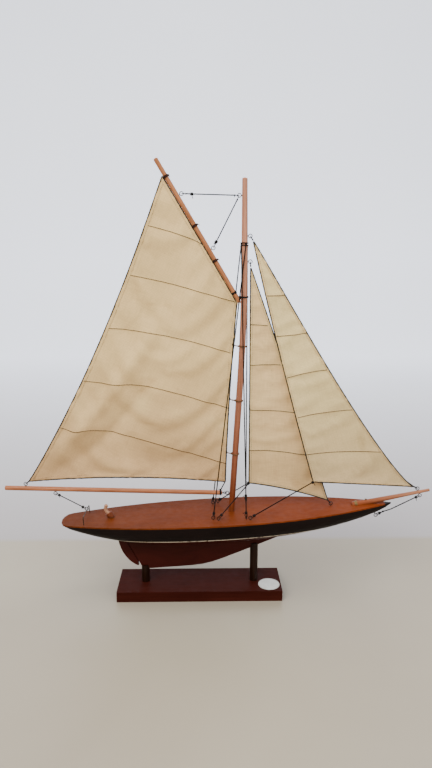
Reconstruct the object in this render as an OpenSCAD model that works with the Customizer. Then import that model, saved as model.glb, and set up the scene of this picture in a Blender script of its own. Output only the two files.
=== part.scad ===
// Gaff cutter display yacht on a wooden stand.
// Units are millimetres. The origin is the centre of the stand base's underside:
// X points to the bow, Y to port and Z up.

/* [Stand] */
// Length of the base board
base_l = 194; // [150:1:260]
// Depth of the base board
base_w = 54; // [40:1:90]
// Thickness of the base board
base_t = 12.7; // [8:0.1:20]
// Distance of each post from the middle of the base
post_x = 65; // [50:1:70]
// Diameter of the two posts
post_d = 9.5; // [8:0.1:14]
// How far the forked tops reach up beside the keel
post_fork = 3.5; // [2.5:0.5:8]
// Diameter of the round paper label
label_d = 25.4; // [10:0.1:30]

/* [Hull] */
// Half of the greatest beam at the deck
half_beam_max = 40.2; // [30:0.1:50]
// Distance from the base's centre back to the stern
stern_reach = 162; // [150:1:180]
// Distance from the base's centre forward to the stem
stem_reach = 227; // [200:1:240]
// Depth of the canoe body below the deck
body_depth = 30; // [26:0.5:40]
// Height of the deck above the table, at the base's centre
deck_h = 100; // [95:1:110]
// Bow-up trim of the boat on its stand, in degrees
trim = 2.88; // [0:0.01:3]
// Depth of the painted waterline below the deck
waterline_drop = 18; // [14:0.5:20]
// Height of the painted waterline stripe
stripe_h = 1.3; // [0.8:0.1:2.5]
// Wall thickness of the hollowed upper hull
wall = 3; // [2:0.5:5]
// Thickness of the deck panel
deck_t = 1.6; // [1:0.1:3]

/* [Keel and rudder] */
// Depth of the keel's foot below the deck
keel_drop = 67; // [60:0.5:68]
// Thickness of the keel plank
keel_t = 5; // [4:0.1:6]
// Thickness of the rudder blade
blade_t = 3.6; // [2.5:0.1:4.4]
// Place of the rudder head on the deck
rudder_x = -104; // [-110:1:-95]
// Slant of the rudder stock, in degrees
rudder_rake = 24.4; // [15:0.1:30]
// Diameter of the rudder stock
stock_d = 3; // [2:0.1:4]

/* [Spars] */
// Diameter of the mast at the deck
mast_d = 7.2; // [5:0.1:9]
// Diameter of the mast at its top
mast_top_d = 5.8; // [4:0.1:7]
// Height of the mast above the deck
mast_l = 374; // [330:1:400]
// Place of the mast on the deck
mast_x = 38.4; // [30:0.1:45]
// Forward rake of the line from the mast's foot to its top, in degrees
mast_rake = 1.82; // [0:0.01:3]
// How much further the lower mast leans forward than that line, in degrees
mast_bow = 1.45; // [0:0.05:2]
// Diameter of the boom
boom_d = 5.4; // [4:0.1:7]
// Diameter of the gaff
gaff_d = 4.8; // [4:0.1:6]
// Diameter of the bowsprit at its heel
bowsprit_d = 7.2; // [5:0.1:8]
// Angle of the boom off the centreline, to port, at rest
boom_rest = 2.2; // [0:0.1:4]

/* [Fittings] */
// Mean radius of a screw eye's ring
eye_r = 2; // [1.8:0.1:2.4]
// Wire diameter of a screw eye
eye_wire = 0.8; // [0.6:0.1:1]
// Diameter of the rigging cord
cord_d = 1; // [0.6:0.1:1.2]
// Diameter of the knots in the rigging
knot_d = 2.5; // [1.8:0.1:3]
// Thickness of the sailcloth with its hems
sail_t = 0.8; // [0.4:0.1:1.5]
// Height of the mainsheet horse above the deck
horse_h = 9; // [6:0.5:10]
// Half of the horse's width
horse_w = 18.3; // [14:0.1:19]

/* [Hidden] */
$fn = 48;

mahogany = "#4a2a1f";
varnish = "#9a5634";
spar_wood = "#bc8260";
bottom_paint = "#4a1512";
side_paint = "#1a1515";
cloth = "#cbb893";
brass = "#b79a62";
steel = "#8d8a84";
twine = "#23201e";

fit = 0.05;          // clearance of a fixed piece in its hole
slot_gap = 0.2;      // clearance of the keel in each fork
eye_stand = 2.7;     // an eye's ring centre above the wood
eye_bite = 3;        // length of an eye's shank inside the wood

// ---------- hull form ----------
beam_x = 18;         // station of the greatest beam
full = 3;            // power of the hull's rounded sections
loop_n = 48;         // points around one waterline
tops_levels = [deck_t, 5, 9, 13, 16, waterline_drop];
bottom_levels = [waterline_drop + stripe_h, 22, 25, 27.5, 29, 29.8];

// The stern's plan is rounded off over its last few millimetres
stern_round = 7.5;
function stern_trim(x) =
    sqrt(max(0, 1 - pow(max(0, (stern_round - stern_reach - x) / stern_round), 2)));
function half_beam(x) = x > beam_x
    ? half_beam_max * (1 - pow((x - beam_x) / (stem_reach - beam_x), 2.3))
    : half_beam_max * (1 - pow((beam_x - x) / 223, 2.15)) * stern_trim(x);
// Depth of the canoe body under the deck at station x, and the stations at a given depth
function depth_at(x) = x > 0
    ? body_depth * pow(max(0, 1 - pow(x / (stem_reach + 1), 2)), 0.62)
    : body_depth * pow(max(0, 1 - pow(-x / (stern_reach + 2), 2.2)), 0.8);
function fore_end(z) = (stem_reach + 1) * sqrt(1 - pow(z / body_depth, 1 / 0.62));
function aft_end(z) = -(stern_reach + 2) * pow(1 - pow(z / body_depth, 1 / 0.8), 1 / 2.2);
function side_y(x, z) =
    half_beam(x) * pow(max(0, 1 - pow(z / depth_at(x), full)), 1 / full);

// One waterline as a closed loop; grow swells it and shrink draws its ends and sides in
function waterline(z, grow = 0, shrink = 0, ends = 0) =
    let (a = aft_end(z) - 2 * grow + ends, f = fore_end(z) + 2 * grow - ends)
    let (m = (a + f) / 2, h = (f - a) / 2)
    [for (k = [0 : loop_n - 1])
        let (t = 360 * k / loop_n, x = m + h * cos(t))
        let (xc = min(max(x, aft_end(z)), fore_end(z)))
        let (s = abs(sin(t)) < 0.001 ? 0 : sign(sin(t)))
        [x, s * (max(0.4, side_y(xc, z) - shrink) + grow), -z]];

// Faces between stacked loops, each of loop_n points
function band_faces(rows) =
    [for (j = [0 : rows - 2], k = [0 : loop_n - 1])
        let (a = j * loop_n + k, b = j * loop_n + (k + 1) % loop_n)
        for (f = [[a, b, b + loop_n], [a, b + loop_n, a + loop_n]]) f];
function ring_close(rows) =
    [for (k = [0 : loop_n - 1])
        let (a = (rows - 1) * loop_n + k, b = (rows - 1) * loop_n + (k + 1) % loop_n)
        let (c = k, d = (k + 1) % loop_n)
        for (f = [[a, b, d], [a, d, c]]) f];

module ring_solid(loops) {
    polyhedron(points = [for (l = loops) each l],
        faces = concat(band_faces(len(loops)), ring_close(len(loops))), convexity = 6);
}
module stacked_solid(loops) {
    n = len(loops);
    polyhedron(points = [for (l = loops) each l],
        faces = concat(band_faces(n), [[for (k = [loop_n - 1 : -1 : 0]) k]],
            [[for (k = [0 : loop_n - 1]) (n - 1) * loop_n + k]]), convexity = 4);
}

deck_n = 60;
function deck_x(t) = (stem_reach - stern_reach) / 2 + (stem_reach + stern_reach) / 2 * cos(t);
deck_outline = [for (k = [0 : deck_n - 1])
    let (t = 360 * k / deck_n, x = deck_x(t))
    [x, abs(sin(t)) < 0.001 ? 0 : sign(sin(t)) * max(0.3, half_beam(x))]];
stem_cap_x = 219;    // the deck ends here and the stem's own head begins

// ---------- frames ----------
// The boat's frame: the deck's top is Z = 0 and the boat is trimmed on its stand
module on_boat() { translate([0, 0, deck_h]) rotate([0, -trim, 0]) children(); }
module off_boat() { rotate([0, trim, 0]) translate([0, 0, -deck_h]) children(); }
mast_foot = [mast_x, 0, 102];
module on_mast() { translate(mast_foot) rotate([0, mast_rake, 0]) children(); }
// The mast's own centre line in that frame: it bows forward off the straight line
mast_base = -0.9;            // its foot is this far aft of the frame's axis
bow_from = 156;              // the lower part is straight up to here
bow_to = 289;                // the upper part is straight from here
mast_back = 2.25;            // the upper part leans aft of the line by this many degrees
bow_r = (bow_to - bow_from) / (sin(mast_bow) + sin(mast_back));
arc_a = mast_base + bow_from * tan(mast_bow) - bow_r * cos(mast_bow);
arc_h = bow_from + bow_r * sin(mast_bow);
function mast_a(h) =
    h < bow_from ? mast_base + h * tan(mast_bow)
    : h < bow_to ? arc_a + sqrt(bow_r * bow_r - pow(h - arc_h, 2))
    : arc_a + bow_r * cos(mast_back) - (h - bow_to) * tan(mast_back);
module on_lower_mast() { on_mast() translate([mast_base, 0, 0]) rotate([0, mast_bow, 0]) children(); }
// The boom, gaff and mainsail's frame: Z along the mast, and aft is -X
module on_rig() { on_mast() rotate([0, 0, -boom_rest]) children(); }
module on_stock() { translate([rudder_x, 0, 0]) rotate([0, -rudder_rake, 0]) children(); }
function deck_z(x) = deck_h + x * tan(trim);

// ---------- small shapes ----------
function unit(v) = v / norm(v);
module rod(p, q, d) {
    v = q - p;
    translate(p) rotate([0, acos(v.z / norm(v)), atan2(v.y, v.x)]) cylinder(h = norm(v), d = d);
}
module placed(c, ex, ey) {
    ez = cross(ex, ey);
    multmatrix([[ex.x, ey.x, ez.x, c.x], [ex.y, ey.y, ez.y, c.y], [ex.z, ey.z, ez.z, c.z]])
        children();
}
module torus(r, d) { rotate_extrude() translate([r, 0]) circle(d = d, $fn = 24); }
function side_of(u, s) = unit(u - s * (u * s));
// A screw eye: ring centre c, shank direction s into the wood, ring turned to face the pull u
module screw_eye(c, s, u, bite = eye_bite) {
    placed(c, s, side_of(u, s)) {
        torus(eye_r, eye_wire);
        translate([eye_r, 0, 0]) rotate([0, 90, 0])
            cylinder(h = eye_stand - eye_r + bite, d = eye_wire + 0.2);
    }
}
// A cord's loop through an eye at c, pulled along u, in an eye whose ring normal is n
loop_r = 1.5;
loop_out = eye_r + 0.15;
knot_out = loop_out + loop_r + 0.8;
module tie(c, u, n) {
    placed(c + loop_out * u, u, side_of(n, u)) torus(loop_r, 0.7);
    translate(c + knot_out * u) sphere(d = knot_d);
}
// A taut cord tied between two eyes, whose ring normals are na and nb
module lanyard(a, b, na, nb) {
    u = unit(b - a);
    tie(a, u, na);
    tie(b, -u, nb);
    rod(a + knot_out * u, b - knot_out * u, cord_d);
}
// A flat panel of cloth: outline's points lie in the plane of the corners a, b and c
module flat_sail(outline, a, b, c) {
    ex = unit(b - a);
    ey = side_of(c - a, ex);
    placed(a, ex, ey) linear_extrude(sail_t, center = true)
        polygon([for (p = outline) [(p - a) * ex, (p - a) * ey]]);
}
// Points along an edge from a to b, hollowed by h towards v, without b itself;
// p and q set where along the edge the hollow is deepest
function edge(a, b, v, h, n, p = 1, q = 1) =
    let (top = pow(p / (p + q), p) * pow(q / (p + q), q))
    [for (i = [0 : n - 1]) let (s = i / n) a + (b - a) * s + v * (h * pow(s, p) * pow(1 - s, q) / top)];

// ---------- stand ----------
post_socket = 9;
module stand_base() {
    color(mahogany) difference() {
        translate([-base_l / 2, -base_w / 2, 0]) cube([base_l, base_w, base_t]);
        for (x = [-post_x, post_x])
            translate([x, 0, base_t - post_socket]) cylinder(h = post_socket + 1, d = post_d);
    }
}
function keel_foot_z(x) = deck_z(x) + keel_line(x / cos(trim) + 2.3 * (x > 0 ? -1 : -1));
module post(x, top) {
    color(mahogany) difference() {
        translate([x, 0, base_t - post_socket]) cylinder(h = top - base_t + post_socket, d = post_d);
        translate([0, 0, -0.1]) on_boat() keel_plank(keel_t + 2 * slot_gap);
    }
}
module stand_post_fore() { post(post_x, keel_foot_z(post_x) + post_fork); }
module stand_post_aft() { post(-post_x, keel_foot_z(-post_x) + post_fork); }
label_t = 0.25;
module round_label() {
    color("white") translate([82.5, -11.5, base_t]) cylinder(h = label_t, d = label_d);
}

// ---------- keel ----------
keel_top = 20;               // the keel plank is let into the hull up to here
keel_aft_x = -60;            // the heel's rounded quarter starts here
heel_l = 38.5;
keel_fore_x = 120;
heel_p = 2.15;
// The foot runs level, then turns up in a soft knee to a straight forefoot
function knee(s) = 0.5 * (s - 0.36 + sqrt(pow(s - 0.36, 2) + 0.0064)) / 0.64;
function foot_line(x) =
    -keel_drop + (keel_drop - 24.5) * knee((x - keel_aft_x) / (keel_fore_x - keel_aft_x));
function heel_line(x) =
    -keel_top - (keel_drop - keel_top) * pow(1 - pow((keel_aft_x - x) / heel_l, heel_p), 1 / heel_p);
function keel_line(x) = x < keel_aft_x ? heel_line(x) : foot_line(x);
keel_tip_x = 131.5;
keel_outline = concat(
    [for (t = [0 : 7.5 : 90]) [keel_aft_x - heel_l * pow(cos(t), 2 / heel_p),
        -keel_top - (keel_drop - keel_top) * pow(sin(t), 2 / heel_p)]],
    [for (x = [keel_aft_x + 12 : 12 : keel_fore_x]) [x, foot_line(x)]],
    [[keel_tip_x, -keel_top]]);
module upright(t) { rotate([90, 0, 0]) linear_extrude(t, center = true) children(); }
// Everything aft of the stock's axis, moved forward by d
module aft_of_stock(d) {
    translate([rudder_x, 0]) rotate(rudder_rake) translate([d - 60, -100]) square([60, 120]);
}
blade_gap = 2.4;
module keel_plank(t) {
    upright(t) difference() {
        polygon(keel_outline);
        aft_of_stock(blade_gap);
    }
}
module keel() { color(bottom_paint) on_boat() keel_plank(keel_t); }

// ---------- hull ----------
tube_d = 4.6;
tube_l = 21.5;
module stock_hole() { on_stock() translate([0, 0, -60]) cylinder(h = 80, d = tube_d); }
module mast_hole(extra) {
    off_boat() on_lower_mast() translate([0, 0, -40]) cylinder(h = 60, d = mast_d + extra);
}
module hull_topsides() {
    inner_levels = [waterline_drop, 9, deck_t];
    color(side_paint) on_boat() ring_solid(concat(
        [for (z = tops_levels) waterline(z)],
        [for (z = inner_levels) waterline(z, shrink = wall, ends = 6)]));
}
module hull_bottom() {
    color(bottom_paint) on_boat() difference() {
        stacked_solid([for (z = bottom_levels) waterline(z)]);
        keel_plank(keel_t);
        stock_hole();
    }
}
stripe_out = 0.15;
module waterline_stripe() {
    z = waterline_drop;
    color("ivory") on_boat() difference() {
        stacked_solid([waterline(z, grow = stripe_out), waterline(z + stripe_h, grow = stripe_out)]);
        stock_hole();
    }
}
module stem_cap() {
    color(side_paint) on_boat() translate([0, 0, -deck_t]) linear_extrude(deck_t)
        intersection() {
            polygon(deck_outline);
            translate([stem_cap_x, -20]) square([20, 40]);
        }
}
module deck() {
    color(varnish) on_boat() difference() {
        translate([0, 0, -deck_t]) linear_extrude(deck_t) difference() {
            polygon(deck_outline);
            translate([stem_cap_x, -20]) square([20, 40]);
        }
        mast_hole(2 * fit);
        stock_hole();
    }
}
step_l = 24;
step_w = 14;
step_h = 7;
module mast_step() {
    color(spar_wood) on_boat() difference() {
        translate([mast_x - step_l / 2, -step_w / 2, -waterline_drop]) cube([step_l, step_w, step_h]);
        mast_hole(2 * fit);
    }
}
module rudder_tube() {
    color(brass) on_boat() intersection() {
        on_stock() translate([0, 0, -60]) difference() {
            cylinder(h = 80, d = tube_d);
            translate([0, 0, -1]) cylinder(h = 82, d = stock_d + 2 * fit);
        }
        translate([-150, -10, -tube_l]) cube([100, 20, tube_l]);
    }
}

// ---------- mast ----------
function mast_r(h) = h < bow_to ? mast_d / 2
    : (mast_d + (mast_top_d - mast_d) * (h - bow_to) / (mast_l - bow_to)) / 2;
peak_eye_h = 356.8;
jib_eye_h = 315.5;
stay_eye_h = 288.6;
gooseneck_h = 22.2;
gooseneck_gap = 2.7;           // distance between the two linked rings' centres
function on_mast_pt(a, h) = mast_foot
    + [a * cos(mast_rake) + h * sin(mast_rake), 0, h * cos(mast_rake) - a * sin(mast_rake)];
module mast() {
    lower_l = bow_from / cos(mast_bow);
    upper_l = (mast_l - bow_to) / cos(mast_back);
    color(spar_wood) difference() {
        union() {
            on_lower_mast() {
                translate([0, 0, -30]) cylinder(h = 30 + lower_l, d = mast_d);
                translate([-bow_r, 0, lower_l]) rotate([90, 0, 0])
                    rotate_extrude(angle = mast_bow + mast_back, $fn = 1200)
                    translate([bow_r, 0]) circle(d = mast_d, $fn = 48);
            }
            on_mast() translate([mast_a(bow_to), 0, bow_to]) rotate([0, -mast_back, 0]) {
                translate([0, 0, -2]) cylinder(h = upper_l + 2, d1 = mast_d - 0.02, d2 = mast_top_d);
                translate([0, 0, upper_l]) scale_dome(mast_top_d);
            }
        }
        on_boat() translate([0, -20, -waterline_drop - 60]) cube([80, 40, 60]);
    }
}
// A low rounded end on a spar
module scale_dome(d) {
    r = d * 0.72;
    intersection() {
        translate([0, 0, -sqrt(r * r - d * d / 4)]) sphere(r = r);
        cylinder(h = d, d = d);
    }
}
peak_eye = [mast_a(peak_eye_h) - mast_r(peak_eye_h) - eye_stand, 0, peak_eye_h];
jib_eye = [mast_a(jib_eye_h) + mast_r(jib_eye_h) + eye_stand, 0, jib_eye_h];
stay_eye = [mast_a(stay_eye_h) + mast_r(stay_eye_h) + eye_stand, 0, stay_eye_h];
goose_eye = [mast_a(gooseneck_h) - mast_d / 2 - eye_stand, 0, gooseneck_h];
module mast_eyes() {
    color(steel) on_mast() {
        screw_eye(peak_eye, [1, 0, 0], [-1, 0, -1]);
        screw_eye(jib_eye, [-1, 0, 0], [1, 0, -1]);
        screw_eye(stay_eye, [-1, 0, 0], [1, 0, -1]);
        screw_eye(goose_eye, [1, 0, 0], [-1, 0, 1]);
    }
}

// ---------- bowsprit ----------
heel_pt = [180.5, 0, 108.2];
tip_pt = [271, 0, 126.7];
tip_d = 3.3;
sprit_dir = unit(tip_pt - heel_pt);
sprit_up = [-sprit_dir.z, 0, sprit_dir.x];
module bowsprit() {
    color(spar_wood) difference() {
        translate(heel_pt) rotate([0, 90 - asin(sprit_dir.z), 0]) union() {
            cylinder(h = norm(tip_pt - heel_pt), d1 = bowsprit_d, d2 = tip_d);
            translate([0, 0, norm(tip_pt - heel_pt)]) scale_dome(tip_d);
        }
        on_boat() translate([150, -20, -30]) cube([70, 40, 30]);
    }
}
// The band over the heel, with its feet on the deck
collar_x = 186;
module bowsprit_collar() {
    color(brass) difference() {
        translate(heel_pt + sprit_dir * 3) rotate([0, 90 - asin(sprit_dir.z), 0])
            difference() {
                cylinder(h = 3, d = bowsprit_d + 1.2);
                translate([0, 0, -1]) cylinder(h = 5, d = bowsprit_d - 0.1);
            }
        on_boat() translate([150, -20, -30]) cube([70, 40, 30]);
    }
}
pin_along = 17;
module bowsprit_pin() {
    color(brass) translate(heel_pt + sprit_dir * pin_along) rotate([0, -asin(sprit_dir.z), 0]) {
        translate([0, 0, -3]) cylinder(h = 3 + bowsprit_d / 2, d = 1.2);
        translate([0, 0, bowsprit_d / 2 - 0.35]) cylinder(h = 0.9, d = 2.4);
    }
}
sprit_eye_along = 79;
sprit_eye_r = 1.9;           // the bowsprit's radius at its eyes
tack_eye = heel_pt + sprit_dir * sprit_eye_along + sprit_up * (sprit_eye_r + eye_stand);
bobstay_eye = heel_pt + sprit_dir * (sprit_eye_along + 1.5) - sprit_up * (sprit_eye_r + eye_stand);
module bowsprit_eyes() {
    color(steel) {
        screw_eye(tack_eye, -sprit_up, [-1, 0, 1], 1.8);
        screw_eye(bobstay_eye, sprit_up, [-1, 0, -1], 1.8);
    }
}
stem_eye_c = [209.4, 0, 95.4];
stem_eye_s = unit([-1, 0, 1.6]);
bobstay_bend = [[217.8, 0, 99.6], [227.5, 0, 102.9]];
module stem_eye() { color(steel) screw_eye(stem_eye_c, stem_eye_s, bobstay_bend[0] - stem_eye_c); }
module bobstay() {
    u = unit(bobstay_bend[0] - stem_eye_c);
    v = unit(bobstay_bend[1] - bobstay_eye);
    color(twine) {
        tie(stem_eye_c, u, [0, 1, 0]);
        tie(bobstay_eye, v, [0, 1, 0]);
        rod(stem_eye_c + knot_out * u, bobstay_bend[0], cord_d);
        rod(bobstay_bend[0], bobstay_bend[1], cord_d);
        rod(bobstay_bend[1], bobstay_eye + knot_out * v, cord_d);
        translate(bobstay_bend[0]) sphere(d = knot_d * 0.8);
        translate(bobstay_bend[1]) sphere(d = cord_d * 1.3);
    }
}

// ---------- deck eyes, shrouds and sheets ----------
shroud_top_h = 308;
// Places of the eyes' ring centres on the starboard deck, as [X, distance from centreline]
aft_shroud_at = [16, 21.8];
fore_shroud_at = [53.4, 25];
fore_shroud_port_at = [56.4, 25];
stay_sheet_at = [22, 25];
jib_sheet_at = [58, 28];
function deck_eye(at, side) = [at.x, side * at.y, deck_z(at.x) + eye_stand];
// Each shroud is one cord: from the aft eye up, round the mast and down to the fore eye
shroud_loop_r = mast_r(shroud_top_h) + cord_d / 2 + 0.03;
function shroud_top(angle, h) = on_mast_pt(mast_a(h) + shroud_loop_r * cos(angle), h)
    + [0, shroud_loop_r * sin(angle), 0];
down = [sin(trim), 0, -cos(trim)];
function eye_normal(u) = unit(cross(down, side_of(u, down)));
module shroud_leg(e, t) {
    u = unit(t - e);
    tie(e, u, eye_normal(u));
    rod(e + knot_out * u, t, cord_d);
    translate(t) sphere(d = cord_d * 1.2);
}
aft_top_stb = shroud_top(-70, shroud_top_h);
fore_top_stb = shroud_top(-160, shroud_top_h);
aft_top_port = shroud_top(160, shroud_top_h - 2.4);
fore_top_port = shroud_top(35, shroud_top_h - 2.4);
module shroud_loop(h) {
    on_mast() translate([mast_a(h), 0, h]) torus(shroud_loop_r, cord_d);
}
module shroud_starboard() {
    color(twine) {
        shroud_loop(shroud_top_h);
        shroud_leg(deck_eye(aft_shroud_at, -1), aft_top_stb);
        shroud_leg(deck_eye(fore_shroud_at, -1), fore_top_stb);
    }
}
module shroud_port() {
    color(twine) {
        shroud_loop(shroud_top_h - 2.4);
        shroud_leg(deck_eye(aft_shroud_at, 1), aft_top_port);
        shroud_leg(deck_eye(fore_shroud_port_at, 1), fore_top_port);
    }
}
module shroud_eyes() {
    aft_s = deck_eye(aft_shroud_at, -1);
    fore_s = deck_eye(fore_shroud_at, -1);
    aft_p = deck_eye(aft_shroud_at, 1);
    fore_p = deck_eye(fore_shroud_port_at, 1);
    color(steel) {
        screw_eye(aft_s, down, aft_top_stb - aft_s);
        screw_eye(fore_s, down, fore_top_stb - fore_s);
        screw_eye(aft_p, down, aft_top_port - aft_p);
        screw_eye(fore_p, down, fore_top_port - fore_p);
    }
}

// Sail corners: the headsails in the row's frame, the mainsail in the rig's
stay_head = [56.6, 0, 381.5];
stay_tack = [149.5, 0, 116.5];
stay_clew = [58, 0, 136.7];
jib_head = [60.5, 0, 409.5];
jib_tack = [249, 0, 132.6];
jib_clew = [131.8, -8, 140.5];
stay_tack_eye_c = [155, 0, deck_z(155) + eye_stand];
clew_reach = 0.8;            // a clew's knot sits just off the sail's corner
stay_clew_knot = stay_clew - [clew_reach, 0, 0.6];
jib_clew_knot = jib_clew - [clew_reach, 0.4, 0.4];
module sheet_eyes() {
    color(steel) {
        for (side = [-1, 1])
            screw_eye(deck_eye(stay_sheet_at, side), down,
                stay_clew_knot - deck_eye(stay_sheet_at, side));
        screw_eye(deck_eye(jib_sheet_at, -1), down, jib_clew_knot - deck_eye(jib_sheet_at, -1));
    }
}
module sheet_cord(eye, knot) {
    u = unit(knot - eye);
    color(twine) {
        tie(eye, u, eye_normal(u));
        rod(eye + knot_out * u, knot, cord_d);
        translate(knot) sphere(d = knot_d * 0.8);
    }
}
module staysail_sheet_starboard() {
    sheet_cord(deck_eye(stay_sheet_at, -1), stay_clew_knot + [0, -1.1, 0]);
}
module staysail_sheet_port() {
    sheet_cord(deck_eye(stay_sheet_at, 1), stay_clew_knot + [0, 1.1, 0]);
}
module jib_sheet() { sheet_cord(deck_eye(jib_sheet_at, -1), jib_clew_knot); }
module staysail_tack_eye() { color(steel) screw_eye(stay_tack_eye_c, down, stay_tack - stay_tack_eye_c); }

// ---------- headsails ----------
module jib() {
    color(cloth) flat_sail(concat(
        edge(jib_head, jib_tack, side_of(jib_clew - jib_head, unit(jib_tack - jib_head)), 8.6, 10, 1.3, 0.6),
        edge(jib_tack, jib_clew, [0, 0, 1], 0, 1),
        edge(jib_clew, jib_head, [0, 0, 1], 0, 1)), jib_head, jib_tack, jib_clew);
}
module staysail() {
    color(cloth) flat_sail(concat(
        edge(stay_head, stay_tack, [0, 0, 1], 0, 1),
        edge(stay_tack, stay_clew, [0, 0, 1], 2.5, 5),
        edge(stay_clew, stay_head, [0, 0, 1], 0, 1)), stay_head, stay_tack, stay_clew);
}
// A short cord from an eye to a sail's corner
module corner_tie(eye, corner) {
    u = unit(corner - eye);
    placed(eye + loop_out * u, u, side_of([0, 1, 0], u)) torus(loop_r, 0.7);
    rod(eye + (loop_out + loop_r) * u, corner, cord_d * 0.9);
}
module jib_ties() {
    color(twine) {
        corner_tie(on_mast_pt(jib_eye.x, jib_eye.z), jib_head);
        corner_tie(tack_eye, jib_tack);
    }
}
module staysail_ties() {
    color(twine) {
        corner_tie(on_mast_pt(stay_eye.x, stay_eye.z), stay_head);
        corner_tie(stay_tack_eye_c, stay_tack);
    }
}

// ---------- boom, gaff and mainsail ----------
boom_fore = [-13.3, 0, gooseneck_h];
boom_aft = [-267.8, 0, 17.6];
boom_dir = unit(boom_aft - boom_fore);
function on_boom(a) = boom_fore + boom_dir * ((boom_fore.x - a) / -boom_dir.x);
module spar(a, b, d) {
    v = b - a;
    translate(a) rotate([0, acos(v.z / norm(v)), atan2(v.y, v.x)]) {
        cylinder(h = norm(v), d = d);
        translate([0, 0, norm(v)]) scale_dome(d);
        mirror([0, 0, 1]) scale_dome(d);
    }
}
module boom() { color(spar_wood) on_rig() spar(boom_fore, boom_aft, boom_d); }
goose_ring = goose_eye - [gooseneck_gap, 0, 0];
module gooseneck_eye() {
    color(steel) on_rig() {
        translate(goose_ring) torus(eye_r, eye_wire);
        rod(goose_ring + boom_dir * eye_r, boom_fore + boom_dir * eye_bite, eye_wire + 0.2);
    }
}
sheet_eye = on_boom(-208.9) - [0, 0, boom_d / 2 + eye_stand];
clew_eye = on_boom(-244) + [0, 0, boom_d / 2 + eye_stand];
module boom_eyes() {
    color(steel) on_rig() {
        screw_eye(sheet_eye, [0, 0, 1], [1, 0, 0]);
        screw_eye(clew_eye, [0, 0, -1], [1, 0, 0]);
    }
}
gaff_peak = [-95.7, 0, 390.5];
gaff_throat = [-3.5, 0, 248];
gaff_dir = unit(gaff_throat - gaff_peak);
gaff_up = [-gaff_dir.z, 0, gaff_dir.x];
function on_gaff(s) = gaff_peak + gaff_dir * s;
upper_eye = on_gaff(43.7) + gaff_up * (gaff_d / 2 + eye_stand);
lower_eye = on_gaff(109.1) + gaff_up * (gaff_d / 2 + eye_stand);
jaw_gap = 0.45;
module gaff() {
    color(spar_wood) on_rig() difference() {
        spar(gaff_throat + gaff_dir * 12, gaff_peak, gaff_d);
        translate([mast_a(250), 0, 200]) cylinder(h = 100, r = mast_d / 2 + jaw_gap);
        translate([-20, -10, 200]) cube([60, 20, 44]);
    }
}
module gaff_eyes() {
    color(steel) on_rig() {
        screw_eye(upper_eye, -gaff_up, [1, 0, 0]);
        screw_eye(lower_eye, -gaff_up, [0, 0, 1]);
    }
}
head_drop = gaff_d / 2 + 0.6;
main_peak = on_gaff(21) - gaff_up * head_drop;
main_throat = gaff_throat + gaff_dir * 3 - gaff_up * head_drop;
main_tack = [-9.3, 0, 36];
main_clew = [-237.5, 0, 29];
module mainsail() {
    color(cloth) on_rig() flat_sail(concat(
        edge(main_peak, main_throat, [0, 0, 1], 0, 1),
        edge(main_throat, main_tack, [-1, 0, 0], 1.5, 4),
        edge(main_tack, main_clew, [0, 0, 1], 5, 6),
        edge(main_clew, main_peak, [1, 0, 0], 12, 8)), main_tack, main_clew, main_peak);
}
lashing_h = [70.7, 133.9, 196.1];
lash_gap = 0.45;
module mast_loop(h, d) {
    translate([mast_a(h), 0, h]) torus(mast_r(h) + lash_gap + d / 2, d);
}
luff_x = [-8.9, -7.7, -6.9];
module mast_lashings() {
    color(twine) on_rig() for (i = [0 : 2]) {
        h = lashing_h[i];
        back = [mast_a(h) - mast_d / 2 - lash_gap - 0.6, 0, h];
        mast_loop(h, cord_d);
        translate(back) sphere(d = knot_d * 0.8);
        rod(back, [luff_x[i], 0, h + 0.8], cord_d);
    }
}
gaff_lash_s = [20.5, 79.2, 121.8];
module gaff_wrap(s, w) {
    placed(on_gaff(s), gaff_up, [0, 1, 0]) difference() {
        translate([0, 0, -w / 2]) cylinder(h = w, d = gaff_d + 1.6);
        translate([0, 0, -w / 2 - 1]) cylinder(h = w + 2, d = gaff_d + 0.02);
    }
}
module gaff_lashings() { color(twine) on_rig() for (s = gaff_lash_s) gaff_wrap(s, 2.6); }
throat_h = 250.5;
module throat_lashing() {
    color(twine) on_rig() {
        mast_loop(throat_h, cord_d * 1.2);
        gaff_wrap(162, 2.6);
    }
}
module tack_tie() {
    color(twine) on_rig() {
        rod(boom_fore + [-1.2, 0, boom_d / 2 + 0.4], main_tack - [0.3, 0, 0.2], cord_d);
        placed(boom_fore + [-1.2, 0, 0], [0, 0, 1], [0, 1, 0]) torus(boom_d / 2 + 0.4, 0.7);
    }
}
module clew_tie() { color(twine) on_rig() corner_tie(clew_eye, main_clew); }
module peak_halyard() {
    color(twine) on_rig() {
        lanyard(upper_eye, peak_eye, [0, 1, 0], [0, 1, 0]);
        lanyard(lower_eye, peak_eye, [0, 1, 0], [0, 1, 0]);
    }
}
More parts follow.
